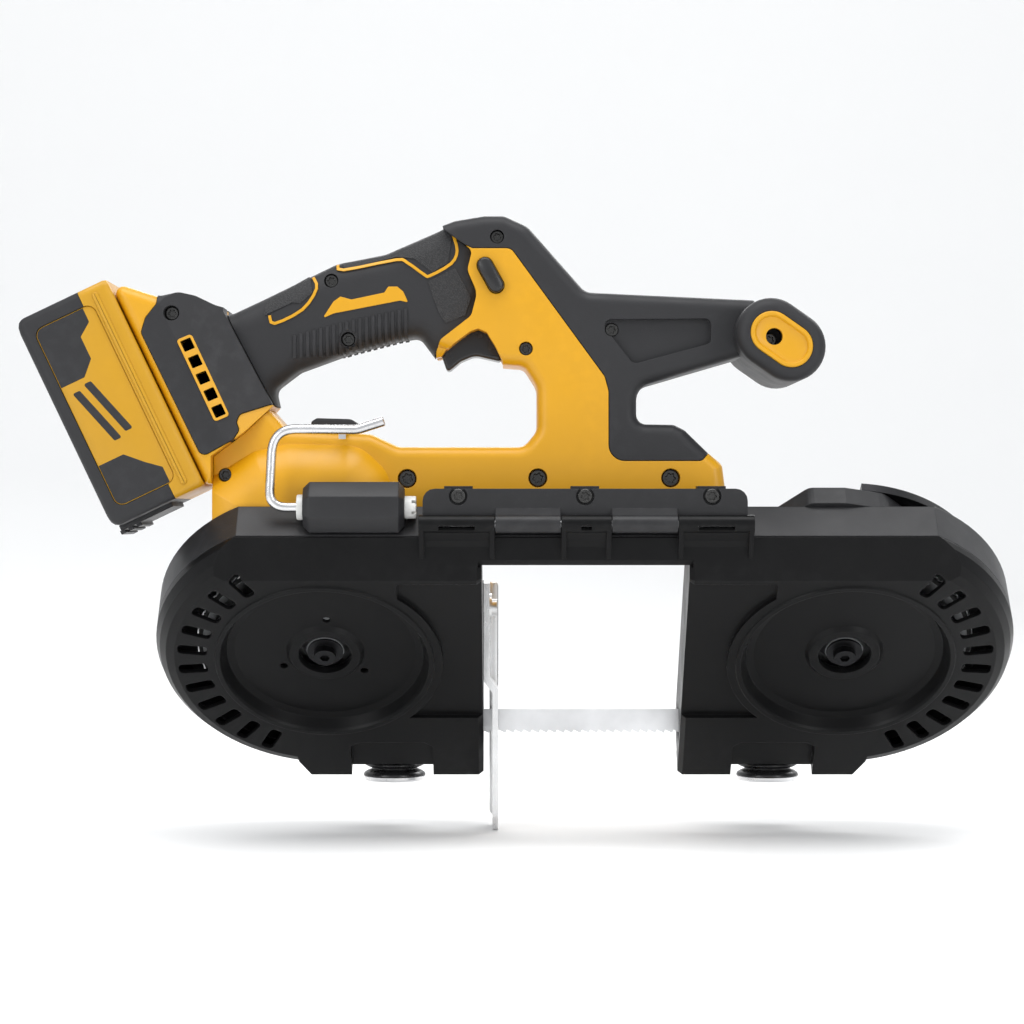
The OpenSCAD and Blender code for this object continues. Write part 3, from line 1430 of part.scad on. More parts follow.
panel_corners = [
  [-pack_h + 7, -pack_l / 2 + 9, 3], [-3, -pack_l / 2 + 9, 3], [-3, pack_l / 2 - 4, 3], [-pack_h + 7, pack_l / 2 - 4, 3]
];
module pack_block(height) {
  r = 7;
  corners = [
    for (c = [[-1, -1], [1, -1], [1, 1], [-1, 1]]) [c.x * pack_w / 2, c.y * pack_l / 2, r]
  ];
  stacked(corners, [[0, 4], [pack_edge, pack_edge], [4, 0], [height, 0]], 3);
}
module battery_panels() {
  color("gold")
    on_seat() for (side = [0, 1])
      mirror([0, 0, side]) translate([0, 0, pack_w / 2 - 1.2]) linear_extrude(1.2) polygon(outline(panel_corners, 0.1, 3));
}
cell_r = 10;
module battery_cells() {
  color("steelblue")
    on_seat()
      for (row = [0, 1])
        for (i = [0:4])
          translate([-pack_h + 3.3 + cell_r + row * (2 * cell_r + 0.3), (i - 2) * (2 * cell_r + 0.3) - 1, -pack_w / 2 + 4.2])
            cylinder(r = cell_r, h = pack_w - 8.4);
}
module battery_contacts() {
  color("silver")
    on_seat() for (side = [-1, 1])
      for (leaf = [-1, 1])
        translate([2, -8, side * 9 + leaf * 0.75 - 0.2]) cube([7, 8, 0.4]);
}
module battery_button() {
  color("black")
    on_seat() translate([-pack_h + 16.3, pack_l / 2 - 2.5, -9.7]) cube([13.4, 4, 19.4]);
}

wheel_frame();
wheel_cover();
hinge_bracket();
bracket_screws();
hinge_pin();
latch_knob_left();
latch_knob_right();
drive_wheel();
drive_tyre();
idler_wheel();
idler_tyre();
idler_bearing();
drive_bolt();
idler_bolt();
drive_shaft();
output_gear();
middle_gear();
motor_rotor();
motor_stator();
shaft_bearings();
rotor_bearings();
gear_case();
tension_housing();
idler_carriage();
tension_spring();
tension_lever();
blade();
blade_guides();
rear_roller();
front_roller();
shoe();
shoe_screw();
body_shell_near();
body_shell_far();
grip_near();
grip_far();
foot_near();
foot_far();
spine_near();
spine_far();
front_bar();
bar_caps();
shell_screws();
body_bolts();
trigger();
trigger_switch();
lock_off_button();
control_board();
terminal_block();
hook();
hook_housing();
hook_bushings();
hook_clip();
top_pad();
battery_case();
battery_panels();
battery_cells();
battery_contacts();
battery_button();
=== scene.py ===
from math import atan2, cos, pi, radians, sin, sqrt, tan

import bmesh
import bpy
from mathutils import Matrix, Vector


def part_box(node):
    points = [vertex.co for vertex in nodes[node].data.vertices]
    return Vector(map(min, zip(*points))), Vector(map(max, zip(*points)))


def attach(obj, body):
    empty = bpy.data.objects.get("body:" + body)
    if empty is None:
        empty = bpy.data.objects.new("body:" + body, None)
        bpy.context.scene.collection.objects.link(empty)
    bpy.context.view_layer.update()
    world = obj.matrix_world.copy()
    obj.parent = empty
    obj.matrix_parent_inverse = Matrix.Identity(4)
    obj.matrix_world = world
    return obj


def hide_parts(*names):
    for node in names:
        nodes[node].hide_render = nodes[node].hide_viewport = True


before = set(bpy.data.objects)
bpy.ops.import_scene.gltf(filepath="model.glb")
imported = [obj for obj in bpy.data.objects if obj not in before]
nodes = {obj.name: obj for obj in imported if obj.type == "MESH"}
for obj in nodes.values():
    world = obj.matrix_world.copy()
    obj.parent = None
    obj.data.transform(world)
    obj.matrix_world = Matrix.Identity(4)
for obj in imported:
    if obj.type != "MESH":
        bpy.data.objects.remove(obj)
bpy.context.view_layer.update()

# Studio: the saw stands on a pale sweep that curves up behind it.
# The camera stands level with the grip, one and a half metres off, on a long lens.
# Four soft boxes light it: overhead, one on each side in front, and a strip behind.
pin_low, pin_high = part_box("hinge_pin")
pin_middle = Vector((-0.5, -59, 58.3))
wheel_middle = (pin_low + pin_high) / 2 - pin_middle / 1000


def spot(x, y, z):
    """A place given in millimetres from the point midway between the wheels."""
    return wheel_middle + Vector((x, y, z)) / 1000


def build(name, points, faces, smooth=40):
    """A mesh object from points in metres, smooth apart from edges sharper than the angle."""
    mesh = bpy.data.meshes.new(name)
    mesh.from_pydata([tuple(p) for p in points], [], faces)
    work = bmesh.new()
    work.from_mesh(mesh)
    bmesh.ops.recalc_face_normals(work, faces=work.faces)
    if all(edge.is_manifold for edge in work.edges) and work.calc_volume(signed=True) < 0:
        bmesh.ops.reverse_faces(work, faces=work.faces)
    work.to_mesh(mesh)
    work.free()
    piece = bpy.data.objects.new(name, mesh)
    bpy.context.scene.collection.objects.link(piece)
    soften(piece, smooth)
    return piece


def soften(piece, angle):
    """Shades a piece smooth apart from edges sharper than the angle in degrees."""
    mesh = piece.data
    mesh.polygons.foreach_set("use_smooth", [True] * len(mesh.polygons))
    mesh.set_sharp_from_angle(angle=radians(angle))


camera_at = (-37, -1454, 64.2)
camera_data = bpy.data.cameras.new("camera")
camera_data.lens = 100
camera_data.sensor_width = 36
camera_data.clip_start = 0.05
camera_data.clip_end = 30
camera = bpy.data.objects.new("camera", camera_data)
camera.location = spot(*camera_at)
camera.rotation_euler = (radians(90), 0, 0)
bpy.context.scene.collection.objects.link(camera)
bpy.context.scene.camera = camera

sweep_run = [(-5, 0), (1.2, 0)]
sweep_run += [(1.2 + 0.9 * sin(radians(a)), 0.9 - 0.9 * cos(radians(a))) for a in range(10, 91, 10)]
sweep_run += [(2.1, 6)]
sweep = build(
    "sweep",
    [(x, y, z) for y, z in sweep_run for x in (-6, 6)],
    [(2 * i, 2 * i + 1, 2 * i + 3, 2 * i + 2) for i in range(len(sweep_run) - 1)],
    60,
)


def soft_box(name, place, aim, wide, high, power):
    """A rectangular lamp that faces its aim."""
    data = bpy.data.lights.new(name, "AREA")
    data.shape = "RECTANGLE"
    data.size, data.size_y, data.energy = wide, high, power
    lamp = bpy.data.objects.new(name, data)
    lamp.location = place
    lamp.rotation_mode = "QUATERNION"
    lamp.rotation_quaternion = (Vector(aim) - Vector(place)).to_track_quat("-Z", "Y")
    bpy.context.scene.collection.objects.link(lamp)


soft_box("overhead", (0.0, -0.35, 1.5), (0, 0, 0.12), 1.5, 0.9, 15)
soft_box("front_left", (-1.5, -1.7, 0.9), (0, 0, 0.12), 0.9, 1.2, 12)
soft_box("front_right", (1.5, -1.9, 0.7), (0, 0, 0.12), 0.8, 1.2, 10)
soft_box("rear_strip", (0.3, 1.0, 0.9), (0, 0, 0.15), 1.6, 0.4, 9)
bpy.context.scene.view_settings.view_transform = "Standard"
world = bpy.data.worlds.new("studio")
world.use_nodes = True
world.node_tree.nodes["Background"].inputs["Color"].default_value = (0.95, 0.97, 1, 1)
world.node_tree.nodes["Background"].inputs["Strength"].default_value = 0.68
bpy.context.scene.world = world


class Link:
    """One shader socket, so that finishes can be written as sums."""

    def __init__(self, finish, socket):
        self.finish, self.socket = finish, socket

    def sum(self, kind, a, b):
        return self.finish.node("Math", {"operation": kind}, {0: a, 1: b})

    def __add__(self, other):
        return self.sum("ADD", self, other)

    def __sub__(self, other):
        return self.sum("SUBTRACT", self, other)

    def __mul__(self, other):
        return self.sum("MULTIPLY", self, other)


class Graph:
    """A node tree that grows by calls, with every socket wrapped for arithmetic."""

    def put(self, target, value):
        if isinstance(value, Link):
            self.tree.links.new(value.socket, target)
        elif hasattr(value, "__len__") and len(value) == 3 and target.type == "RGBA":
            target.default_value = (*value, 1)
        else:
            target.default_value = value

    def node(self, kind, settings=None, values=None, output=0):
        made = self.tree.nodes.new(kind if "Node" in kind else "ShaderNode" + kind)
        for key, value in (settings or {}).items():
            setattr(made, key, value)
        for key, value in (values or {}).items():
            self.put(made.inputs[key], value)
        return Link(self, made.outputs[output])


class Finish(Graph):
    """A procedural finish: node() adds any shader node, shade() sets the surface."""

    def __init__(self, name):
        self.material = bpy.data.materials.new(name)
        self.material.use_nodes = True
        self.tree = self.material.node_tree
        self.surface = self.tree.nodes["Principled BSDF"]
        self.here = self.node("TexCoord", output="Object")

    def noise(self, scale, detail=3, rough=0.5, stretch=(1, 1, 1)):
        place = self.here
        if stretch != (1, 1, 1):
            place = self.node("Mapping", {}, {"Vector": self.here, "Scale": stretch})
        return self.node(
            "TexNoise", {}, {"Vector": place, "Scale": scale, "Detail": detail, "Roughness": rough}
        )

    def span(self, value, low, high, to_low=0.0, to_high=1.0):
        return self.node(
            "MapRange", {}, {0: value, 1: low, 2: high, 3: to_low, 4: to_high}
        )

    def blend(self, factor, a, b):
        return self.node("Mix", {"data_type": "RGBA"}, {0: factor, 6: a, 7: b}, output=2)

    def shade(self, **values):
        for key, value in values.items():
            self.put(self.surface.inputs[key.replace("_", " ")], value)

    def relief(self, height, depth, rounding):
        """Surface height in metres, over edges that are rounded by the given radius."""
        values = {"Height": height, "Distance": depth}
        if rounding:
            values["Normal"] = self.node("Bevel", {"samples": 4}, {"Radius": rounding})
        self.put(self.surface.inputs["Normal"], self.node("Bump", {}, values))


paper = Finish("pale_sweep")
paper_clouds = paper.blend(paper.noise(3), (0.955, 0.955, 0.95), (0.97, 0.97, 0.965))
paper.shade(Base_Color=paper_clouds, Roughness=0.75)
sweep.data.materials.append(paper.material)


# Wheel housing: a cast alloy frame with charcoal enamel, and the moulded cover over it.
# Both have a fine grain, and their edges have gone a little brighter with handling.
# The cover keeps its CAD form, with dishes, vents, pockets and hinge knuckles.
def moulded(name, colour, rough, grain, size, rounding, wear=0.25, shine=0.5):
    """Moulded plastic or enamel: even colour with faint clouds, eroded grain, worn edges."""
    made = Finish(name)
    cloud = made.noise(22, 3)
    fine = made.noise(1 / size, 2, 0.6)
    bright = tuple(min(1, c * (1 + wear) + 0.006 * wear) for c in colour)
    dull = tuple(c * 0.93 for c in colour)
    edge = made.node("NewGeometry", output="Pointiness")
    worn = made.span(edge, 0.52, 0.62) * made.span(made.noise(160, 4), 0.45, 0.7)
    base = made.blend(made.span(cloud, 0.3, 0.7), dull, colour)
    made.shade(
        Base_Color=made.blend(worn, base, bright),
        Roughness=made.span(made.noise(60, 4), 0.3, 0.7, rough - 0.05, rough + 0.06),
        Specular_IOR_Level=shine,
    )
    made.relief(fine, grain, rounding)
    return made


def coat(finish, *names):
    """Gives CAD nodes their finish."""
    for name in names:
        data = nodes[name].data
        data.materials.clear()
        data.materials.append(finish.material)


enamel = moulded("charcoal_enamel", (0.019, 0.019, 0.0205), 0.42, 0.00006, 0.0011, 0.0008, shine=0.35)
cover_skin = moulded("cover_plastic", (0.004, 0.004, 0.0043), 0.36, 0.00004, 0.0008, 0.0007, shine=0.17)
coat(enamel, "wheel_frame", "hinge_bracket", "tension_housing", "gear_case", "hook_housing")
coat(cover_skin, "wheel_cover")

# Running gear: turned wheels with rubber tyres, ground shafts, hobbed gears and the motor.
# Bright metal shows fine rings from the lathe, and oiled steel is darker.


def turned(name, colour, rough, rounding=0.0003, streak=(1, 1, 1), depth=0.000012):
    """Machined metal with fine tool marks and a thin film of oil."""
    made = Finish(name)
    marks = made.noise(900, 2, 0.6, streak)
    film = made.noise(35, 4)
    made.shade(
        Base_Color=made.blend(made.span(film, 0.35, 0.7), colour, tuple(c * 0.8 for c in colour)),
        Metallic=1.0,
        Roughness=made.span(marks + film * 0.6, 0.5, 1.1, rough - 0.06, rough + 0.1),
    )
    made.relief(marks, depth, rounding)
    return made


alloy = turned("wheel_alloy", (0.42, 0.43, 0.44), 0.4)
steel = turned("ground_steel", (0.52, 0.52, 0.53), 0.3)
dark_steel = turned("oxide_steel", (0.035, 0.035, 0.037), 0.36)
winding = turned("copper_case", (0.10, 0.07, 0.05), 0.5)
tyre_rubber = moulded("tyre_rubber", (0.012, 0.012, 0.012), 0.7, 0.00005, 0.0007, 0.0004)
coat(alloy, "drive_wheel", "idler_wheel", "idler_carriage")
coat(steel, "drive_shaft", "output_gear", "middle_gear", "shaft_bearings", "rotor_bearings", "idler_bearing")
coat(steel, "motor_rotor")
coat(dark_steel, "drive_bolt", "idler_bolt", "tension_lever", "tension_spring")
coat(winding, "motor_stator")
coat(tyre_rubber, "drive_tyre", "idler_tyre")

# Body: two yellow moulded shells that meet on the middle plane and carry the motor.
# Their outer edges are rounded, with a fine open seam where they meet the black mouldings.
shell_yellow = moulded("shell_yellow", (0.68, 0.335, 0.004), 0.38, 0.00003, 0.0009, 0.0005, 0.05)
shell_black = moulded("shell_black", (0.026, 0.026, 0.028), 0.5, 0.00006, 0.0009, 0.0006, shine=0.3)
throat_left, throat_top = -52, 38
lean_back = 19
body_half, bulge_half, foot_half, grip_half = 24, 38, 36, 19
body_round, bulge_round = 6, 27
seam = 0.18
inside, outside = -1, 60


def corner(before, here, after, inset, steps):
    """Points round one corner of an outline given as x, z and radius, moved in by inset."""
    a = (Vector(here[:2]) - Vector(before[:2])).normalized()
    b = (Vector(after[:2]) - Vector(here[:2])).normalized()
    left_a, left_b = Vector((-a.y, a.x)), Vector((-b.y, b.x))
    turn = atan2(a.x * b.y - a.y * b.x, a.dot(b))
    side = 1 if turn >= 0 else -1
    bisector = (left_a + left_b) / (1 + left_a.dot(left_b))
    radius = max(here[2] - inset, min(here[2], 0.8)) if side > 0 else here[2] + inset
    if abs(turn) < radians(4):
        return [Vector(here[:2]) + bisector * inset]
    centre = Vector(here[:2]) + bisector * (inset + side * radius)
    start = atan2(-side * left_a.y, -side * left_a.x)
    return [
        centre + radius * Vector((cos(start + turn * i / steps), sin(start + turn * i / steps)))
        for i in range(steps + 1)
    ]


def outline(corners, inset=0.0, steps=8):
    """A closed outline with all its corners rounded, moved in by inset."""
    count = len(corners)
    return [
        p
        for i in range(count)
        for p in corner(corners[i - 1], corners[i], corners[(i + 1) % count], inset, steps)
    ]


def bridge(rings, count, closed=False):
    """Faces from each ring of points to the next, and over both ends unless they close a loop."""
    faces = []
    for k in range(rings if closed else rings - 1):
        low, high = k * count, (k + 1) % rings * count
        faces += [(low + i, low + (i + 1) % count, high + (i + 1) % count, high + i) for i in range(count)]
    if not closed:
        faces += [tuple(range(count)), tuple(range((rings - 1) * count, rings * count))]
    return faces


def stack(name, rings, place, smooth=35):
    """A closed solid through equal rings of points; place maps x, z and depth to metres."""
    points = [place(p[0], p[1], depth) for ring, depth in rings for p in ring]
    return build(name, points, bridge(len(rings), len(rings[0][0])), smooth)


def layered(name, corners, levels, place, smooth=35):
    """A closed solid of one outline, moved in and lifted by each level's inset and depth."""
    return stack(name, [(outline(corners, inset), depth) for inset, depth in levels], place, smooth)


def upright(side):
    """Places a point by x, z and its depth out of the middle plane, on one side."""
    return lambda x, z, depth: spot(x, side * depth, z)


def moulding(name, corners, depth, rounding, side, low=seam, steps=8, proud=0.0):
    """Half a moulded body: from low near the middle plane out to depth, its outer edge rounded."""
    rings = [(outline(corners, -proud, steps), low)]
    for i in range(steps + 1):
        turn = pi / 2 * i / steps
        inset = rounding * (1 - cos(turn)) - proud
        rings.append((outline(corners, inset, steps), depth + proud - rounding + rounding * sin(turn)))
    return stack(name, rings, upright(side))


def prism(points, low, high, side):
    """A cutter with straight sides, between two depths on one side of the middle plane."""
    return stack("cutter", [(points, low), (points, high)], upright(side))


def carve(piece, cutter, kind="DIFFERENCE"):
    """Cuts one mesh with another and keeps the result as the piece's plain mesh."""
    cut = piece.modifiers.new("cut", "BOOLEAN")
    cut.solver, cut.operation, cut.object = "EXACT", kind, cutter
    shaped = bpy.data.meshes.new_from_object(piece.evaluated_get(bpy.context.evaluated_depsgraph_get()))
    piece.modifiers.clear()
    old, name = piece.data, piece.data.name
    piece.data = shaped
    bpy.data.meshes.remove(old)
    shaped.name = name
    soften(piece, 35)
    bpy.data.objects.remove(cutter)
    return piece


def drill(piece, x, z, radius, low, high, side, sides=32):
    """Cuts a round hole across the middle plane, between two depths on one side."""
    turns = [2 * pi * i / sides for i in range(sides)]
    ring = [Vector((x + radius * cos(a), z + radius * sin(a))) for a in turns]
    return carve(piece, prism(ring, low, high, side))


def dress(piece, finish, body, slot, *replaced):
    """Gives a finished piece its material, the body it rides on and the nodes it stands for."""
    piece.data.materials.clear()
    piece.data.materials.append(finish.material)
    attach(piece, body)
    if replaced:
        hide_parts(*replaced)
    return piece


body_corners = [
    (-190, 24, 3), (throat_left - 6.5, 24, 3), (throat_left - 6.5, throat_top, 3),
    (70.5, throat_top, 4), (70.5, 76, 4),
    (69, 88, 5), (61.3, 94.5, 3), (50, 105.5, 6), (44.5, 108.2, 5),
    (25.7, 108.5, 5), (25.7, 127, 9), (77, 142, 4),
    (86, 144, 2), (86, 171, 2), (0, 175, 8), (-29, 208, 12), (-41, 213.5, 8), (-51, 213.5, 8), (-66, 211, 8),
    (-84, 204, 4), (-90, 190, 4), (-90, 152, 3), (-43, 138.5, 4), (-31, 137.5, 5), (-24.4, 127, 10),
    (-24.4, 105, 9), (-31, 97, 7), (-94, 97, 8), (-108, 103.5, 10),
    (-150, 105.5, 4), (-162, 119, 2), (-192, 102, 2),
]
bulge_corners = [
    (-197, 21, 8), (-94, 21, 22), (-94, 84, 22), (-112, 101, 22),
    (-150, 102, 20), (-168, 98, 14), (-197, 80, 8),
]
spine_corners = [
    (11.7, 90, 8), (58.5, 90, 3), (63, 95, 2), (90, 80, 2),
    (110, 190, 4), (0, 190, 4), (-20, 222, 4), (-90, 222, 4),
    (-76, 206, 2), (-57, 197, 2), (-37.5, 197, 5), (9.7, 132.4, 5), (11.7, 125, 5),
]


def soft_line(points, steps=6):
    """An open line through points with a radius each, rounded at every point but the ends."""
    line = [Vector(points[0][:2])]
    for i in range(1, len(points) - 1):
        line += corner(points[i - 1], points[i], points[i + 1], 0, steps)
    return line + [Vector(points[-1][:2])]


grip_to_body = soft_line([
    (-72, 216, 0), (-72, 207, 3), (-57, 196, 4), (-59.5, 186, 6),
    (-54.5, 174.5, 10), (-57.5, 163, 5), (-73, 151, 4),
    (-76, 143, 5), (-76, 130, 0),
])
meeting = (-157, 117.5)
grip_to_foot = [(-182, 176), (-182, 165), meeting]
foot_to_body = [meeting, (-171, 104), (-187, 92), (-187, -60)]
under_grip = [(-100, 118), (-150, 117.5)]
rear_region = grip_to_body + under_grip + foot_to_body + [(-300, -60), (-300, 230), (-72, 230)]
lock_at, lock_turn, lock_stretch, lock_r = Vector((-47.8, 183.2)), radians(-61), 11.5, 3.9
well_corners = [
    (-71.8, 134, 1), (-62, 139.9, 5), (-56, 143.2, 7), (-42.6, 140.3, 1), (-40.8, 145, 1), (-44, 165, 1),
    (-79.5, 165, 1), (-79, 151, 1), (-76.8, 145, 2),
]
well_half = 9.4
finger_room = [
    (-73.2, 142), (-72.7, 143.4), (-65.7, 149.4), (-58.1, 155), (-54.1, 156.5), (-49.7, 154.6), (-45.4, 147.6),
    (-41.8, 140.3), (-41, 128), (-76, 128),
]
small_screws = [
    (-44.5, 202.7), (-30, 146.4), (-128.3, 181), (-119.8, 151.5), (-181, 82.8), (13.2, 156), (-207, 163.5),
]
body_screws, grip_screws, foot_screw = small_screws[:2] + small_screws[4:6], small_screws[2:4], small_screws[6]
large_bolts = [(-89.7, 81), (-24, 81.3), (42.8, 81.3)]
screw_seats = {}


def obround(centre, turn, stretch, radius, steps=14):
    """A stadium outline, its straight sides along the turned x axis."""
    points = []
    for end in (1, -1):
        for i in range(steps + 1):
            a = turn + (-pi / 2 + pi * i / steps if end > 0 else pi / 2 + pi * i / steps)
            middle = Vector(centre) + Vector((cos(turn), sin(turn))) * end * stretch / 2
            points.append(middle + radius * Vector((cos(a), sin(a))))
    return points


def oblong(wide, high):
    """The corners of a rectangle, given its half sizes."""
    return [(-wide, -high), (wide, -high), (wide, high), (-wide, high)]


def leaning(x, u, n):
    """Places a point by x, its height u on the wheels' leaning plane and its distance n behind it."""
    return spot(x, -(u + n) * sqrt(0.5), (u - n) * sqrt(0.5))


def behind_frame(piece):
    """Cuts away what would stand in front of the frame's leaning back plate."""
    square = oblong(400, 400)
    return carve(piece, stack("cutter", [(square, -lean_back), (square, 500)], leaning))


def sink(piece, side, holes, radius, depth):
    """Drills screw holes to a depth below the surface, and keeps where each screw sits."""
    for x, z in holes:
        where = piece.ray_cast(spot(x, 90 * side, z), Vector((0, -side, 0)))[1]
        seat_y = (where - spot(0, 0, 0)).y * 1000 * side - depth
        screw_seats[x, z] = spot(x, side * seat_y, z)
        drill(piece, x, z, radius, seat_y, seat_y + 40, side)
    return piece


def shaped_body(name, side):
    """Half the body with all its openings, before it is split into shell and trim."""
    piece = moulding(name, body_corners, body_half, body_round, side)
    carve(piece, moulding("cutter", bulge_corners, bulge_half, bulge_round, side, 8), "UNION")
    carve(piece, prism(rear_region, inside, outside, side))
    behind_frame(piece)
    if side < 0:
        sink(piece, side, body_screws, 3.5, 5.4)
        sink(piece, side, large_bolts, 4.8, 5.6)
    carve(piece, prism(obround(lock_at, lock_turn, lock_stretch, lock_r + 0.35), inside, outside, side))
    carve(piece, prism(outline(well_corners), inside, well_half, side))
    carve(piece, prism(finger_room, inside, outside, side))
    return piece


for side, label in ((-1, "near"), (1, "far")):
    shell = shaped_body("body_" + label, side)
    carve(shell, prism(outline(spine_corners, -seam), inside, outside, side))
    dress(shell, shell_yellow, "root", "shell_yellow", "body_shell_" + label)

# Spine and arm: black moulding over the top of the body, down the arm to the front bar.
# A long recess with a screw behind it lightens the arm on both sides.
recess_corners = [(6.5, 161, 3), (24, 138.5, 4), (63, 149, 3), (63, 161.5, 3)]
for side, label in ((-1, "near"), (1, "far")):
    spine = shaped_body("spine_trim_" + label, side)
    carve(spine, prism(outline(spine_corners, seam), inside, outside, side), "INTERSECT")
    carve(spine, prism(outline(recess_corners, 0, 6), body_half - 4, outside, side))
    dress(spine, shell_black, "root", "shell_black", "spine_" + label)

# Grip: soft black overmould on both halves, rounded to the palm, with stippled pads
# between yellow piping, a yellow inlay and a field of ribs along its lower side.
rubber = moulded("grip_rubber", (0.026, 0.026, 0.028), 0.55, 0.00007, 0.0010, 0.0006, shine=0.3)
grip_corners = [
    (-200, 160, 3), (-185, 90, 3), (-150, 92, 3), (-157.5, 126, 5), (-145, 135.5, 12), (-119, 145, 14),
    (-94, 151.5, 10), (-84, 153, 5), (-75, 141, 3), (-50, 141, 3),
    (-50, 212, 3), (-70, 208.5, 6), (-101, 195, 16),
    (-126, 190, 14), (-163, 172, 14), (-178, 165, 10),
]
grip_region = grip_to_body + under_grip + grip_to_foot[::-1] + [(-182, 230), (-72, 230)]
grip_round = 11
picture_middle, picture_reach = 512, 2850


def pixel(px, py, y=-20):
    """Where a point of the camera's picture lies on the upright plane at depth y."""
    scale = (y - camera_at[1]) / picture_reach
    return Vector((camera_at[0] + (px - picture_middle) * scale, camera_at[2] - (py - picture_middle) * scale))


def shrink(points, gap):
    """Moves a closed outline of plain points inwards, or outwards if gap is negative."""
    area = sum(points[i - 1][0] * points[i][1] - points[i][0] * points[i - 1][1] for i in range(len(points)))
    loop = [Vector(p[:2]) for p in (points if area > 0 else points[::-1])]
    moved = []
    for i, here in enumerate(loop):
        a = (here - loop[i - 1]).normalized()
        b = (loop[(i + 1) % len(loop)] - here).normalized()
        left_a, left_b = Vector((-a.y, a.x)), Vector((-b.y, b.x))
        moved.append(here + (left_a + left_b) / max(1 + left_a.dot(left_b), 0.35) * gap)
    return moved


def band(line, width):
    """The outline of a strip of the given width along a line of points."""
    left, right = [], []
    for i, here in enumerate(line):
        a = (line[max(i, 1)] - line[max(i, 1) - 1]).normalized()
        b = (line[min(i + 1, len(line) - 1)] - line[min(i, len(line) - 2)]).normalized()
        across = (Vector((-a.y, a.x)) + Vector((-b.y, b.x))) / (1 + a.dot(b))
        left.append(here + across * width / 2)
        right.append(here - across * width / 2)
    return left + right[::-1]


def rounded(points, radius, steps=5):
    """An outline of plain points with every corner rounded."""
    area = sum(points[i - 1][0] * points[i][1] - points[i][0] * points[i - 1][1] for i in range(len(points)))
    loop = [(p[0], p[1], radius) for p in (points if area > 0 else points[::-1])]
    return outline(loop, 0, steps)


def curve_line(points, steps=6):
    """A smooth line through points."""
    line = []
    for i in range(len(points) - 1):
        before, after = points[max(i - 1, 0)], points[min(i + 2, len(points) - 1)]
        a, b = points[i], points[i + 1]
        for k in range(steps):
            t = k / steps
            line.append(
                0.5 * (2 * a + (b - before) * t + (2 * before - 5 * a + 4 * b - after) * t * t
                       + (3 * a - before - 3 * b + after) * t ** 3)
            )
    return line + [points[-1]]


def skin(name, region, proud, side, corners=grip_corners, depth=grip_half, rounding=grip_round, low=3.0):
    """A thin raised piece that follows the moulding's surface inside a region."""
    piece = moulding(name, corners, depth, rounding, side, low, 8, proud)
    return carve(piece, prism(region, low - 1, outside, side), "INTERSECT")


def join(name, pieces):
    """One mesh from several."""
    points, faces = [], []
    for piece in pieces:
        start = len(points)
        points += [v.co.copy() for v in piece.data.vertices]
        faces += [[start + v for v in f.vertices] for f in piece.data.polygons]
        bpy.data.objects.remove(piece)
    mesh = bpy.data.meshes.new(name)
    mesh.from_pydata(points, [], faces)
    made = bpy.data.objects.new(name, mesh)
    bpy.context.scene.collection.objects.link(made)
    soften(made, 35)
    return made


class Row(Graph):
    """A Geometry Nodes group with named inputs, given as a socket type and a value each."""

    def __init__(self, name, **inputs):
        self.tree = bpy.data.node_groups.new(name, "GeometryNodeTree")
        face = self.tree.interface
        face.new_socket("Geometry", in_out="INPUT", socket_type="NodeSocketGeometry")
        for label, (kind, value) in inputs.items():
            socket = face.new_socket(label, in_out="INPUT", socket_type="NodeSocket" + kind)
            if value is not None:
                socket.default_value = value
        face.new_socket("Geometry", in_out="OUTPUT", socket_type="NodeSocketGeometry")
        self.entry = self.tree.nodes.new("NodeGroupInput")
        self.end = self.tree.nodes.new("NodeGroupOutput")

    def given(self, label):
        return Link(self, self.entry.outputs[label])

    def finish(self, geometry, material):
        whole = self.node("GeometryNodeRealizeInstances", {}, {"Geometry": geometry})
        made = self.node("GeometryNodeSetMaterial", {}, {"Geometry": whole, "Material": material})
        self.put(self.end.inputs["Geometry"], made)


def grow(row, name, points=(), **values):
    """Runs a group once over a few points and keeps what it makes as a plain mesh."""
    mesh = bpy.data.meshes.new(name)
    mesh.from_pydata([tuple(p) for p in points], [], [])
    piece = bpy.data.objects.new(name, mesh)
    bpy.context.scene.collection.objects.link(piece)
    run = piece.modifiers.new("grow", "NODES")
    run.node_group = row.tree
    for item in row.tree.interface.items_tree:
        if item.in_out == "INPUT" and item.name in values:
            run[item.identifier] = values[item.name]
    made = bpy.data.meshes.new_from_object(piece.evaluated_get(bpy.context.evaluated_depsgraph_get()))
    piece.modifiers.clear()
    piece.data = made
    bpy.data.meshes.remove(mesh)
    made.name = name
    soften(piece, 35)
    return piece


# One rib after another along the grip, each a little lower and longer than the last.
rib_row = Row(
    "rib_row", Count=("Int", 18), Pitch=("Float", 0.0033), Rise=("Float", 0.00096), Fall=("Float", 0.00001),
    Width=("Float", 0.0017), Height=("Float", 0.0116), Growth=("Float", 0.00065),
)
rib_index = rib_row.node("GeometryNodeInputIndex")
rib_height = rib_row.given("Height") + rib_row.given("Growth") * rib_index.sum("MINIMUM", rib_index, 9.0)
rib_lift = (
    rib_row.given("Rise") * rib_index - rib_row.given("Fall") * rib_index * rib_index
    - (rib_height - rib_row.given("Height")) * 0.5
)
rib_line = rib_row.node(
    "GeometryNodeMeshLine", {},
    {"Count": rib_row.given("Count"), "Offset": rib_row.node("CombineXYZ", {}, {0: rib_row.given("Pitch")})},
)
rib_offset = rib_row.node("CombineXYZ", {}, {2: rib_lift})
rib_places = rib_row.node("GeometryNodeSetPosition", {}, {"Geometry": rib_line, "Offset": rib_offset})
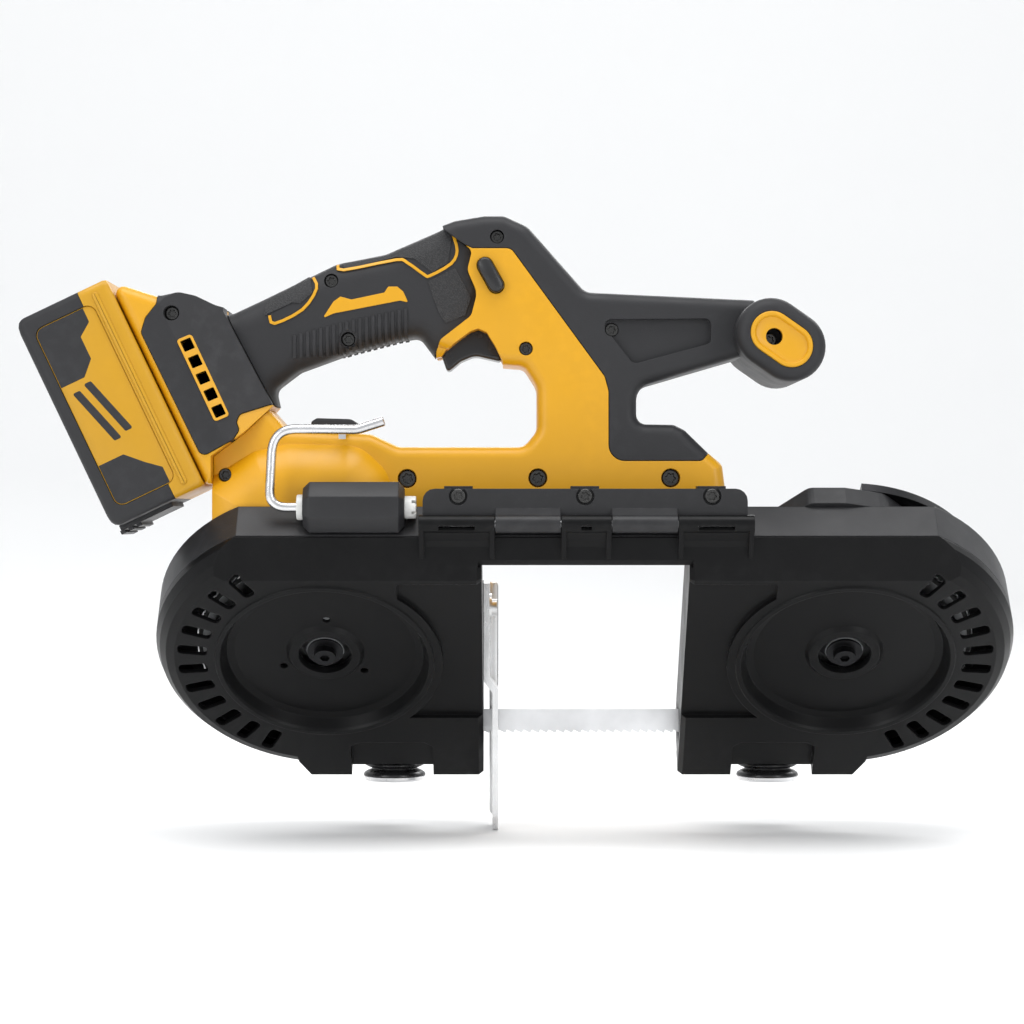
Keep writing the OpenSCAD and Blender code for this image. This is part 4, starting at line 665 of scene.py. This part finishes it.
rib_bars = rib_row.node(
    "GeometryNodeInstanceOnPoints", {},
    {
        "Points": rib_places,
        "Instance": rib_row.node("GeometryNodeMeshCube", {}, {"Size": (1.0, 0.1, 1.0)}),
        "Scale": rib_row.node("CombineXYZ", {}, {0: rib_row.given("Width"), 1: 1.0, 2: rib_height}),
    },
)
rib_row.finish(rib_bars, rubber.material)

stipple = Finish("stippled_rubber")
pips = stipple.node("TexVoronoi", {"feature": "F1"}, {"Vector": stipple.here, "Scale": 1300.0})
# Painted shade: the hollows between the pips are painted darker than the pip tops, using the same pips that the
# relief raises.
stipple.shade(
    Base_Color=stipple.blend(stipple.span(pips, 0.1, 0.6), (0.035, 0.035, 0.037), (0.014, 0.014, 0.015)),
    Roughness=0.62,
)
stipple.relief(stipple.span(pips, 0.1, 0.7, 1, 0), 0.00022, 0.0004)
pads = [
    [(262, 318), (266, 300), (309, 274), (312, 292), (300, 303), (292, 302), (268, 313)],
    [
        (338, 262), (400, 252), (452, 222), (452, 236), (448, 262),
        (432, 272), (414, 258), (396, 256), (345, 268),
    ],
    [(427.3, 281), (455.3, 267), (471.3, 297), (465.3, 315), (445.3, 323), (438.3, 312)],
]
piping_lines = [
    [(269, 315), (274, 323), (302, 309), (316, 288), (312, 276)],
    [
        (337, 263), (343, 269), (395, 259), (407, 262), (424, 274),
        (430, 275), (451, 263), (457, 250), (453, 234),
    ],
]
inlay = [
    (322, 318), (333, 301), (340, 296), (351, 299), (384, 292), (388, 286), (397, 286), (403, 291), (408, 302),
    (400, 300), (333, 313),
]
guard_out = [(436, 357), (437, 348), (447, 335), (464, 327), (474, 322), (480.5, 313), (480, 302)]
guard_back = [(484, 303), (484.5, 316), (478, 327), (466, 333), (452, 342), (441, 356)]
for side, label in ((-1, "near"), (1, "far")):
    grip = moulding("grip_half_" + label, grip_corners, grip_half, grip_round, side)
    carve(grip, prism(shrink(grip_region, seam), inside, outside, side), "INTERSECT")
    carve(grip, prism(outline(well_corners), inside, well_half, side))
    carve(grip, prism(finger_room, inside, outside, side))
    if side < 0:
        sink(grip, side, grip_screws, 3.6, 5.4)
    dress(grip, rubber, "root", "grip_rubber", "grip_" + label)
    bars = grow(rib_row, "bars")
    bars.data.transform(Matrix.Translation(spot(-146.7, 0, 147.5)))
    ribs = moulding("grip_ribs_" + label, grip_corners, grip_half, grip_round, side, 3, 8, 0.7)
    carve(ribs, bars, "INTERSECT")
    drill(ribs, *grip_screws[1], 4.6, 0, outside, side)
    dress(ribs, rubber, "root", "grip_rubber")
    cut_pads = [skin("pad", rounded([pixel(*p) for p in pad], 1.0), 0.45, side) for pad in pads]
    carve(cut_pads[-1], prism(outline(well_corners), inside, well_half, side))
    dress(join("grip_pads_" + label, cut_pads), stipple, "root", "grip_rubber")
    lines = [curve_line([pixel(*p) for p in line], 3) for line in piping_lines]
    piping = [skin("pipe", band(line, 1.5), 0.6, side) for line in lines]
    piping.append(skin("inlay", rounded([pixel(*p) for p in inlay], 0.5), 0.45, side))
    strip = [point for run in (guard_out, guard_back) for point in curve_line([pixel(*p) for p in run], 4)]
    piping.append(skin("guard", strip, 0.8, side))
    dress(join("grip_piping_" + label, piping), shell_yellow, "root", "shell_yellow")

# Foot: the yellow shell that the pack slides on, with a black panel on each side and
# a vent of five slots in a yellow frame. Its sides draw in towards the grip.
seat_turn = radians(25.5)
seat_at = Vector((-214.7, 129.3))


def seat(out, along):
    outward = Vector((cos(seat_turn), sin(seat_turn)))
    return seat_at + outward * out + Vector((-outward.y, outward.x)) * along


foot_corners = [
    (*seat(0, -57), 3), (-172, 80, 4), (-151, 104, 4), (-164, 150, 10), (-171, 163.5, 8), (-186.5, 167.5, 14),
    (-196, 172, 10), (-204, 173.6, 8), (-213, 171.6, 6), (*seat(0, 56), 4),
]
foot_region = grip_to_foot + foot_to_body[1:] + [(-300, -60), (-300, 230), (-182, 230)]
taper = [(0, -1), (90, -1), (90, 17), (52, 20), (16, foot_half + 1), (0, foot_half + 1)]
panel = [
    (141.5, 333), (146, 318), (157, 304), (158, 280), (240, 280),
    (300, 400), (268, 404), (239, 414), (236, 422),
    (239, 430), (233, 440), (206, 455), (200, 453),
]
vent_from, vent_to = pixel(188, 345, -30), pixel(219, 411, -30)


def tapered(piece, side, proud):
    """Trims a foot piece to the slope of its side."""
    shape = [Vector((a, b + proud)) for a, b in taper]

    def place(a, depth, along):
        x, z = seat(a, along)
        return spot(x, side * depth, z)

    return carve(piece, stack("cutter", [(shape, -120), (shape, 120)], place), "INTERSECT")


for side, label in ((-1, "near"), (1, "far")):
    foot = moulding("foot_shell_" + label, foot_corners, foot_half, body_round, side)
    carve(foot, prism(shrink(foot_region, seam), inside, outside, side), "INTERSECT")
    tapered(foot, side, 0)
    corners = [(*pixel(*p, -31), 3) for p in panel]
    corners = corners if shrink(corners, 0)[0] == Vector(corners[0][:2]) else corners[::-1]
    carve(foot, prism(outline(corners, -0.15), 4, outside, side))
    trim = moulding("foot_panel_" + label, foot_corners, foot_half, body_round, side, 4.2, 8, 0.7)
    carve(trim, prism(shrink(foot_region, seam), inside, outside, side), "INTERSECT")
    carve(trim, prism(outline(corners, 0.15), inside, outside, side), "INTERSECT")
    tapered(trim, side, 0.7)
    line = vent_to - vent_from
    turn = Matrix.Rotation(atan2(line.y, line.x), 2)
    reach = line.length / 2 + 4.3
    rim = rounded([(vent_from + vent_to) / 2 + turn @ Vector(c) for c in oblong(reach, 3.9)], 1.6)
    vent = skin("foot_vent_" + label, rim, 1.3, side, foot_corners, foot_half, body_round, 8)
    tapered(vent, side, 1.3)
    for i in range(5):
        at = vent_from + line * i / 4
        slot = rounded([at + turn @ Vector(c) for c in oblong(2.9, 2.65)], 0.5, 3)
        for piece in (foot, trim, vent):
            carve(piece, prism(slot, 12, outside, side))
    if side < 0:
        sink(trim, side, [foot_screw], 3.8, 6)
    dress(foot, shell_yellow, "root", "shell_yellow", "foot_" + label)
    dress(trim, shell_black, "root", "shell_black")
    dress(vent, shell_yellow, "root", "shell_yellow")

# Front bar: black obround handle across the end of the arm, its ends rounded over, with a
# yellow cap let into each. A raised rim runs round the cap, and a screw sits down its hole.
bar_at, bar_turn, bar_half = (96.6, 149.8), radians(-35), 46
bar_hole = (93, 151.2)


def rounds(name, centre, turn, stretch, levels, place, smooth=35):
    """A solid through obround rings, each given as radius and depth."""
    return stack(name, [(obround(centre, turn, stretch, r, 20), depth) for r, depth in levels], place, smooth)


def round_over(half, radius, step):
    """How far in and how deep the rings lie that round the edge of a piece of this half width."""
    turns = [radians(a) for a in range(0, 91, step)]
    return [(radius * (1 - cos(a)), half - radius + radius * sin(a)) for a in turns]


bar_r, bar_cap_r, bar_stretch = 17.4, 10.5, 12
cap_levels = [
    (bar_cap_r, -4.9), (bar_cap_r, 0.1), (10, 0.6), (8.7, 0.6), (8.1, 0.1), (7.8, -0.9), (7.3, -1.2),
]
edge = [(bar_r - inset, depth) for inset, depth in round_over(bar_half, 6, 9)]
bar = rounds("bar", bar_at, bar_turn, bar_stretch, [(r, -d) for r, d in edge[::-1]] + edge, upright(-1), 40)
for side in (-1, 1):
    socket = [(bar_cap_r + 0.2, bar_half - 5), (bar_cap_r + 0.2, outside)]
    carve(bar, rounds("cutter", bar_at, bar_turn, bar_stretch, socket, upright(side)))
    drill(bar, *bar_hole, 4.4, bar_half - 16, outside, side)
    name = "cap_near" if side < 0 else "cap_far"
    levels = [(r, bar_half + depth) for r, depth in cap_levels]
    cap = rounds(name, bar_at, bar_turn, bar_stretch, levels, upright(side))
    drill(cap, *bar_hole, 4.2, 0, outside, side)
    dress(cap, shell_yellow, "root", "shell_yellow", "bar_caps")
dress(bar, rubber, "root", "grip_rubber", "front_bar")

# Blade, guides and shoe: tempered steel band, hardened guide blocks and rollers, and the
# bright steel plate that the work bears on, brushed along its length.
blade_steel = turned("blade_steel", (0.86, 0.865, 0.875), 0.36, 0.0001, (0.15, 1, 1))
shoe_steel = turned("shoe_steel", (0.86, 0.86, 0.86), 0.27, 0, (0.6, 0.6, 0.05), 0.000004)
coat(blade_steel, "blade")
coat(steel, "blade_guides", "rear_roller", "front_roller", "hinge_pin")
coat(shoe_steel, "shoe", "shoe_screw")
# Flange turned over along the shoe's far edge, which stiffens it
flange = [(-49, -97, 3), (-44.3, -97, 1), (-44.3, 27, 2.2), (-49, 27, 0.5)]
flange_levels = [(0.5, 59.6), (0, 60), (0, 61.4), (0.5, 61.8)]
shoe_flange = layered("shoe_flange", flange, flange_levels, upright(1))
dress(shoe_flange, shoe_steel, "shoe", "steel")

# Fasteners: dark steel screws with six-lobed sockets, sunk in the mouldings and the bracket.
# One head is set at every place by Geometry Nodes, each turned as it came to rest.
screw_steel = turned("screw_steel", (0.085, 0.084, 0.082), 0.27)


def star(radius, lobe=0, sides=48):
    """A circle, or one with six lobes."""
    turns = [2 * pi * i / sides for i in range(sides)]
    return [Vector((cos(a), sin(a))) * (radius + lobe * cos(6 * a)) for a in turns]


head_profile = [(0.45, -3), (0.45, 0), (1, 0), (1, 0.52), (0.9, 0.62)]
socket_profile = [(0.57, 0.62), (0.53, 0.55), (0.5, 0.05)]
head_rings = [(star(r), h) for r, h in head_profile] + [(star(r, 0.09), h) for r, h in socket_profile]
head = stack("head", head_rings, lambda x, y, h: Vector((x, y, h)), 30)
screw_set = Row("screw_set", Head=("Object", None), Size=("Float", 0.003), Seed=("Int", 4))
screw_turn = screw_set.node(
    "FunctionNodeRandomValue", {"data_type": "FLOAT"}, {2: 0.0, 3: 6.28, "Seed": screw_set.given("Seed")}, 1
)
screw_head = screw_set.node("GeometryNodeObjectInfo", {}, {"Object": screw_set.given("Head")}, "Geometry")
screw_places = screw_set.node(
    "GeometryNodeInstanceOnPoints", {},
    {
        "Points": screw_set.given("Geometry"),
        "Instance": screw_head,
        "Rotation": screw_set.node("CombineXYZ", {}, {0: pi / 2, 1: screw_turn}),
        "Scale": screw_set.given("Size"),
    },
)
screw_set.finish(screw_places, screw_steel.material)
fastened = (
    ("shell_screws", 0.0033, [screw_seats[p] for p in small_screws]),
    ("body_bolts", 0.0043, [screw_seats[p] for p in large_bolts]),
    ("bracket_screws", 0.0036, [spot(x, -52.9, 72) for x in (-63.5, -1, 61.5)]),
)
for node, size, places in fastened:
    heads = grow(screw_set, node + "_heads", places, Head=head, Size=size)
    dress(heads, screw_steel, "root", "dark_steel", node)
bar_screw = grow(screw_set, "bar_screw", [spot(91.6, 14 - bar_half, 150)], Head=head, Size=0.0033)
dress(bar_screw, screw_steel, "root", "dark_steel")
bpy.data.objects.remove(head)

# Controls: trigger and lock-off button are glossy black mouldings, the trigger's front worn
# smooth. Each latch knob is a waisted spool on a bright metal foot. What is inside is plain.
gloss_black = moulded("gloss_black", (0.014, 0.014, 0.015), 0.27, 0.00002, 0.0012, 0.0008)
board = moulded("board_green", (0.02, 0.12, 0.05), 0.4, 0.00002, 0.001, 0.0003)
cell_wrap = moulded("cell_wrap", (0.05, 0.12, 0.35), 0.3, 0.00001, 0.001, 0.0005)
brass = turned("contact_brass", (0.65, 0.46, 0.2), 0.3)
zinc = turned("zinc_plate", (0.80, 0.80, 0.81), 0.23, 0, (0.2, 0.2, 0.2), 0.000003)
coat(board, "control_board")
coat(shell_black, "trigger_switch", "terminal_block")
trigger_face = [
    (-69.9, 134.9, 1.6), (-63, 140.6, 7), (-56, 143.6, 9),
    (-43, 140.6, 1.6), (-41.9, 143.5, 1), (-48, 157.5, 2),
    (-66, 157.5, 2), (-73.6, 146, 3),
]


def pillow(name, corners, half, radius, step, smooth):
    """A solid across the middle plane with both of its edges rounded over."""
    levels = round_over(half, radius, step)
    levels = [(inset, -depth) for inset, depth in levels[::-1]] + levels
    return layered(name, corners, levels, upright(-1), smooth)


trigger_grip = pillow("trigger_grip", trigger_face, 8.9, 1.8, 15, 50)
dress(trigger_grip, gloss_black, "trigger", "shell_black", "trigger")


def revolve(name, profile, place):
    """A solid turned round its own axis from radius and height pairs."""
    return stack(name, [(star(r, sides=64), h) for r, h in profile], place)


knob_profile = [
    (3.9, 11.8), (3.9, 0), (15.4, -0.1), (15.6, -1), (14.4, -1.7), (12.3, -2.4), (12.2, -3), (14.6, -3.9),
    (16.2, -5), (16.6, -6), (16.6, -6.6), (0.5, -6.6),
]
foot_profile = [
    (0.5, -6.7), (16.3, -6.7), (16.5, -7), (16.4, -8.3), (15.6, -9.2), (14.4, -9.5), (6.2, -9.5), (5.6, -8.8),
    (0.5, -8.8),
]
for side, label in ((-1, "left"), (1, "right")):
    def place(x, y, h, side=side):
        return spot(side * 100 + x, 73.5 + y, -70.3 + h)

    spool = revolve("knob_" + label, knob_profile, place)
    dress(spool, gloss_black, "latch_" + label, "knob_plastic", "latch_knob_" + label)
    dress(revolve("knob_foot_" + label, foot_profile, place), zinc, "latch_" + label, "zinc_steel")
lock_levels = [(2.7, -20), (3.5, -19.6), (3.85, -18.8), (3.85, 27.4), (3.5, 28.2), (2.7, 28.7)]
lock_cap = [(obround(lock_at, lock_turn, lock_stretch, r, 12), d) for r, d in lock_levels]
lock_button = stack("lock_button", lock_cap, upright(-1), 45)
dress(lock_button, gloss_black, "lock_off", "shell_black", "lock_off_button")

# Hook: a bright plated steel rod bent in one plane, which turns in an eight-sided housing
# between white bushings. The right one ends in a ring of catches.
white = moulded("bushing_white", (0.7, 0.7, 0.68), 0.4, 0.00002, 0.001, 0.0004)
hook_y, hook_z, rod_r = -50, 66.5, 2.42
rod_line = [Vector(p) for p in ((-85.4, hook_z), (-157, hook_z), (-155, 105.2), (-113.5, 104.8), (-100.5, 109))]
rod_bends = [8.5, 12.5, 12]


def bend(before, here, after, radius, steps=10):
    """Points along a rounded bend in the rod's middle line."""
    a, b = (before - here).normalized(), (after - here).normalized()
    reach = radius / tan(a.angle(b) / 2)
    start, stop = here + a * reach, here + b * reach
    return [start.lerp(here, k / steps).lerp(here.lerp(stop, k / steps), k / steps) for k in range(steps + 1)]


path = [rod_line[0]]
for i, radius in enumerate(rod_bends):
    path += bend(*rod_line[i:i + 3], radius)
path.append(rod_line[-1])
rod_rings = []
for i, here in enumerate(path):
    along = (path[min(i + 1, len(path) - 1)] - path[max(i - 1, 0)]).normalized()
    across = Vector((-along.y, along.x))
    if i == 0:
        rod_rings.append((here - along * 0.5, across, rod_r - 0.7))
    rod_rings.append((here, across, rod_r))
    if i == len(path) - 1:
        rod_rings.append((here + along * 0.5, across, rod_r - 0.7))
rod_turns = [2 * pi * k / 28 for k in range(28)]
rod_points = [
    spot(c.x + out.x * r * cos(a), hook_y + r * sin(a), c.y + out.y * r * cos(a))
    for c, out, r in rod_rings
    for a in rod_turns
]
hook_rod = build("hook_rod", rod_points, bridge(len(rod_rings), len(rod_turns)))
dress(hook_rod, zinc, "hook", "zinc_steel", "hook")


def on_hook(a, b, x):
    """Places rings drawn in y and z round the hook's axis, with x as their depth."""
    return spot(x, hook_y + a, hook_z + b)


def eight(size):
    """An octagon of this half width, its corners just rounded."""
    reach = size / cos(pi / 8)
    turns = [pi / 8 + pi / 4 * i for i in range(8)]
    return outline([(reach * cos(a), reach * sin(a), 1.2) for a in turns], 0, 3)


housing_levels = [
    (8.6, -140), (9.4, -139.9), (12.4, -136.8), (12.5, -136.2), (12.5, -93.4), (12.4, -92.8), (9.4, -90.1),
    (8.6, -90),
]
housing = stack("hook_shell", [(eight(r), x) for r, x in housing_levels], on_hook, 30)
plane = oblong(300, 300)
below_top = stack("cutter", [(plane, -120), (plane, 75.9)], lambda x, n, u: leaning(x, u, n))
carve(housing, below_top)
carve(housing, stack("cutter", [(plane, -38.3), (plane, 300)], lambda x, z, y: spot(x, y, z)))
carve(housing, stack("cutter", [(star(2.6), -150), (star(2.6), -80)], on_hook))
dress(housing, enamel, "root", "frame_metal", "hook_housing")
sleeve = [(2.56, -143.2), (5.9, -143.2), (6.3, -142.8), (6.3, -140.1), (2.56, -140.1)]
collar = [(2.56, -89.9), (5.6, -89.9), (5.6, -84.8), (5.2, -84.3), (2.56, -84.3)]
bushings = []
for profile in (sleeve, collar):
    points = [on_hook(p[0], p[1], x) for r, x in profile for p in star(r)]
    bushings.append(build("bushing", points, bridge(len(profile), len(star(1)), closed=True)))
for i in range(3):
    a = radians(30 + 60 * i)
    notch = [Vector((cos(a) * u - sin(a) * v, sin(a) * u + cos(a) * v)) for u, v in oblong(9, 0.8)]
    carve(bushings[1], stack("cutter", [(notch, -86.4), (notch, -80)], on_hook))
dress(join("bushings", bushings), white, "root", "bushing_white", "hook_bushings")
pad_corners = [
    (-138.9, 103.6, 0.3), (-115, 103.6, 0.3), (-115.9, 109.6, 2.5), (-118.5, 111.3, 5), (-136, 111.8, 2.5),
    (-138.7, 110, 1),
]
dress(pillow("pad", pad_corners, 14, 1.6, 18, 40), rubber, "root", "grip_rubber", "top_pad")
coat(zinc, "hook_clip")

# Battery: a black case with a yellow upper shell, drawn from its seat. A sunk two-tone
# panel and a raised bead mark each broad side, and stepped ridges give a hold below.
pack_yellow = moulded("pack_yellow", (0.55, 0.283, 0.005), 0.4, 0.00003, 0.0009, 0.0005, 0.05)
pack_across, pack_along = 37.5, 57


def seated(across, along, out):
    """Places a point by its distances across the pack, along the slide and out of the seat."""
    x, z = seat(out, along)
    return spot(x, across, z)


def block(inset_along, inset_across):
    """The pack's outline at one level, its corners rounded."""
    wide, long = pack_across - inset_across, pack_along - inset_along
    return outline([(*c, 3.2) for c in oblong(wide, long)], 0, 6)


low_levels = [
    (-51, 5, 3.4), (-50.5, 3, 1.9), (-49.2, 1.2, 0.7), (-47.5, 0.3, 0.15), (-45.8, 0, 0), (-16.3, 0, 0),
]
low_shell = stack("pack_low", [(block(a, b), out) for out, a, b in low_levels], seated, 30)
high_levels = [(-16.1, 0, 0), (-2.5, 0, 0), (-0.9, 0.4, 0.9), (-0.35, 1, 1.5)]
high_shell = stack("pack_high", [(block(a, b), out) for out, a, b in high_levels], seated, 30)
window = [(-44.3, -49, 5), (-11.4, -49, 5), (-11.4, 49, 5), (-44.3, 49, 5)]
window_cut = [(0, -1.2), (0, outside - pack_across)]
plate_levels = [(0.25, -1.3), (0.25, -0.7), (0.6, -0.5)]
mark_levels = [(0.6, -1), (0.6, -0.42)]
dark_ends = (
    [(-45, 50), (-17, 50), (-17, 41), (-24, 36), (-24, 24), (-31, 17), (-45, 17)],
    [(-45, -50), (-15, -50), (-15, -40), (-22, -34), (-30, -26), (-45, -26)],
    [(-40, 12), (-36, 12), (-27, -18), (-31, -18)],
    [(-33, 14), (-29, 14), (-20, -16), (-24, -16)],
)
bead = [(-10.2, -52.5, 1.6), (-6.8, -52.5, 1.6), (-6.8, 53, 1.6), (-10.2, 53, 1.6)]
bead_levels = [(0, -1), (0, 0.3), (0.35, 0.75), (1, 0.95)]
for side, label in ((-1, "near"), (1, "far")):
    def beside(out, along, depth, side=side):
        """Places a point by its depth from the pack's broad side."""
        return seated(side * (pack_across + depth), along, out)

    for shell in (low_shell, high_shell):
        carve(shell, layered("cutter", window, window_cut, beside))
    plate = layered("panel_" + label, window, plate_levels, beside)
    dress(plate, pack_yellow, "battery", "panel_yellow", "battery_panels")
    marks = []
    for shape in dark_ends:
        shape = rounded(shape, 0.9)
        mark = layered("mark", window, mark_levels, beside)
        marks.append(carve(mark, stack("cutter", [(shape, -27.5), (shape, 22.5)], beside), "INTERSECT"))
    dress(join("panel_marks_" + label, marks), shell_black, "battery", "shell_black")
    carve(high_shell, layered("bead", bead, bead_levels, beside), "UNION")


def at_end(across, along, out):
    """Places a point by its distance beyond the pack's lower end."""
    return seated(across, -pack_along + along, out)


holds = []
base = [(-24, 0.6), (24, 0.6), (24, -1.5), (23.2, -2.3), (-23.2, -2.3), (-24, -1.5)]
ridge = [(-23, -2), (23, -2), (23, -3.3), (22.3, -4), (-22.3, -4), (-23, -3.3)]
nose = rounded([(-13, -2), (13, -2), (13, 2.6), (-13, 2.6)], 1.2)
for shape, low, high in ((base, -49, -20), (ridge, -49.8, -47.2), (ridge, -45.3, -42.7), (ridge, -40.8, -38.2)):
    holds.append(stack("hold", [(shape, low), (shape, high)], at_end))
nose_at = pack_along - 0.5
nose_rings = [(nose, -49.5), (nose, -43.5)]
holds.append(stack("nose", nose_rings, lambda a, b, out: seated(a, nose_at + b, out)))
dress(low_shell, shell_black, "battery", "shell_black", "battery_case")
dress(join("pack_holds", holds), shell_black, "battery", "shell_black")
dress(high_shell, pack_yellow, "battery", "shell_yellow")
coat(shell_black, "battery_button")
coat(cell_wrap, "battery_cells")
coat(brass, "battery_contacts")
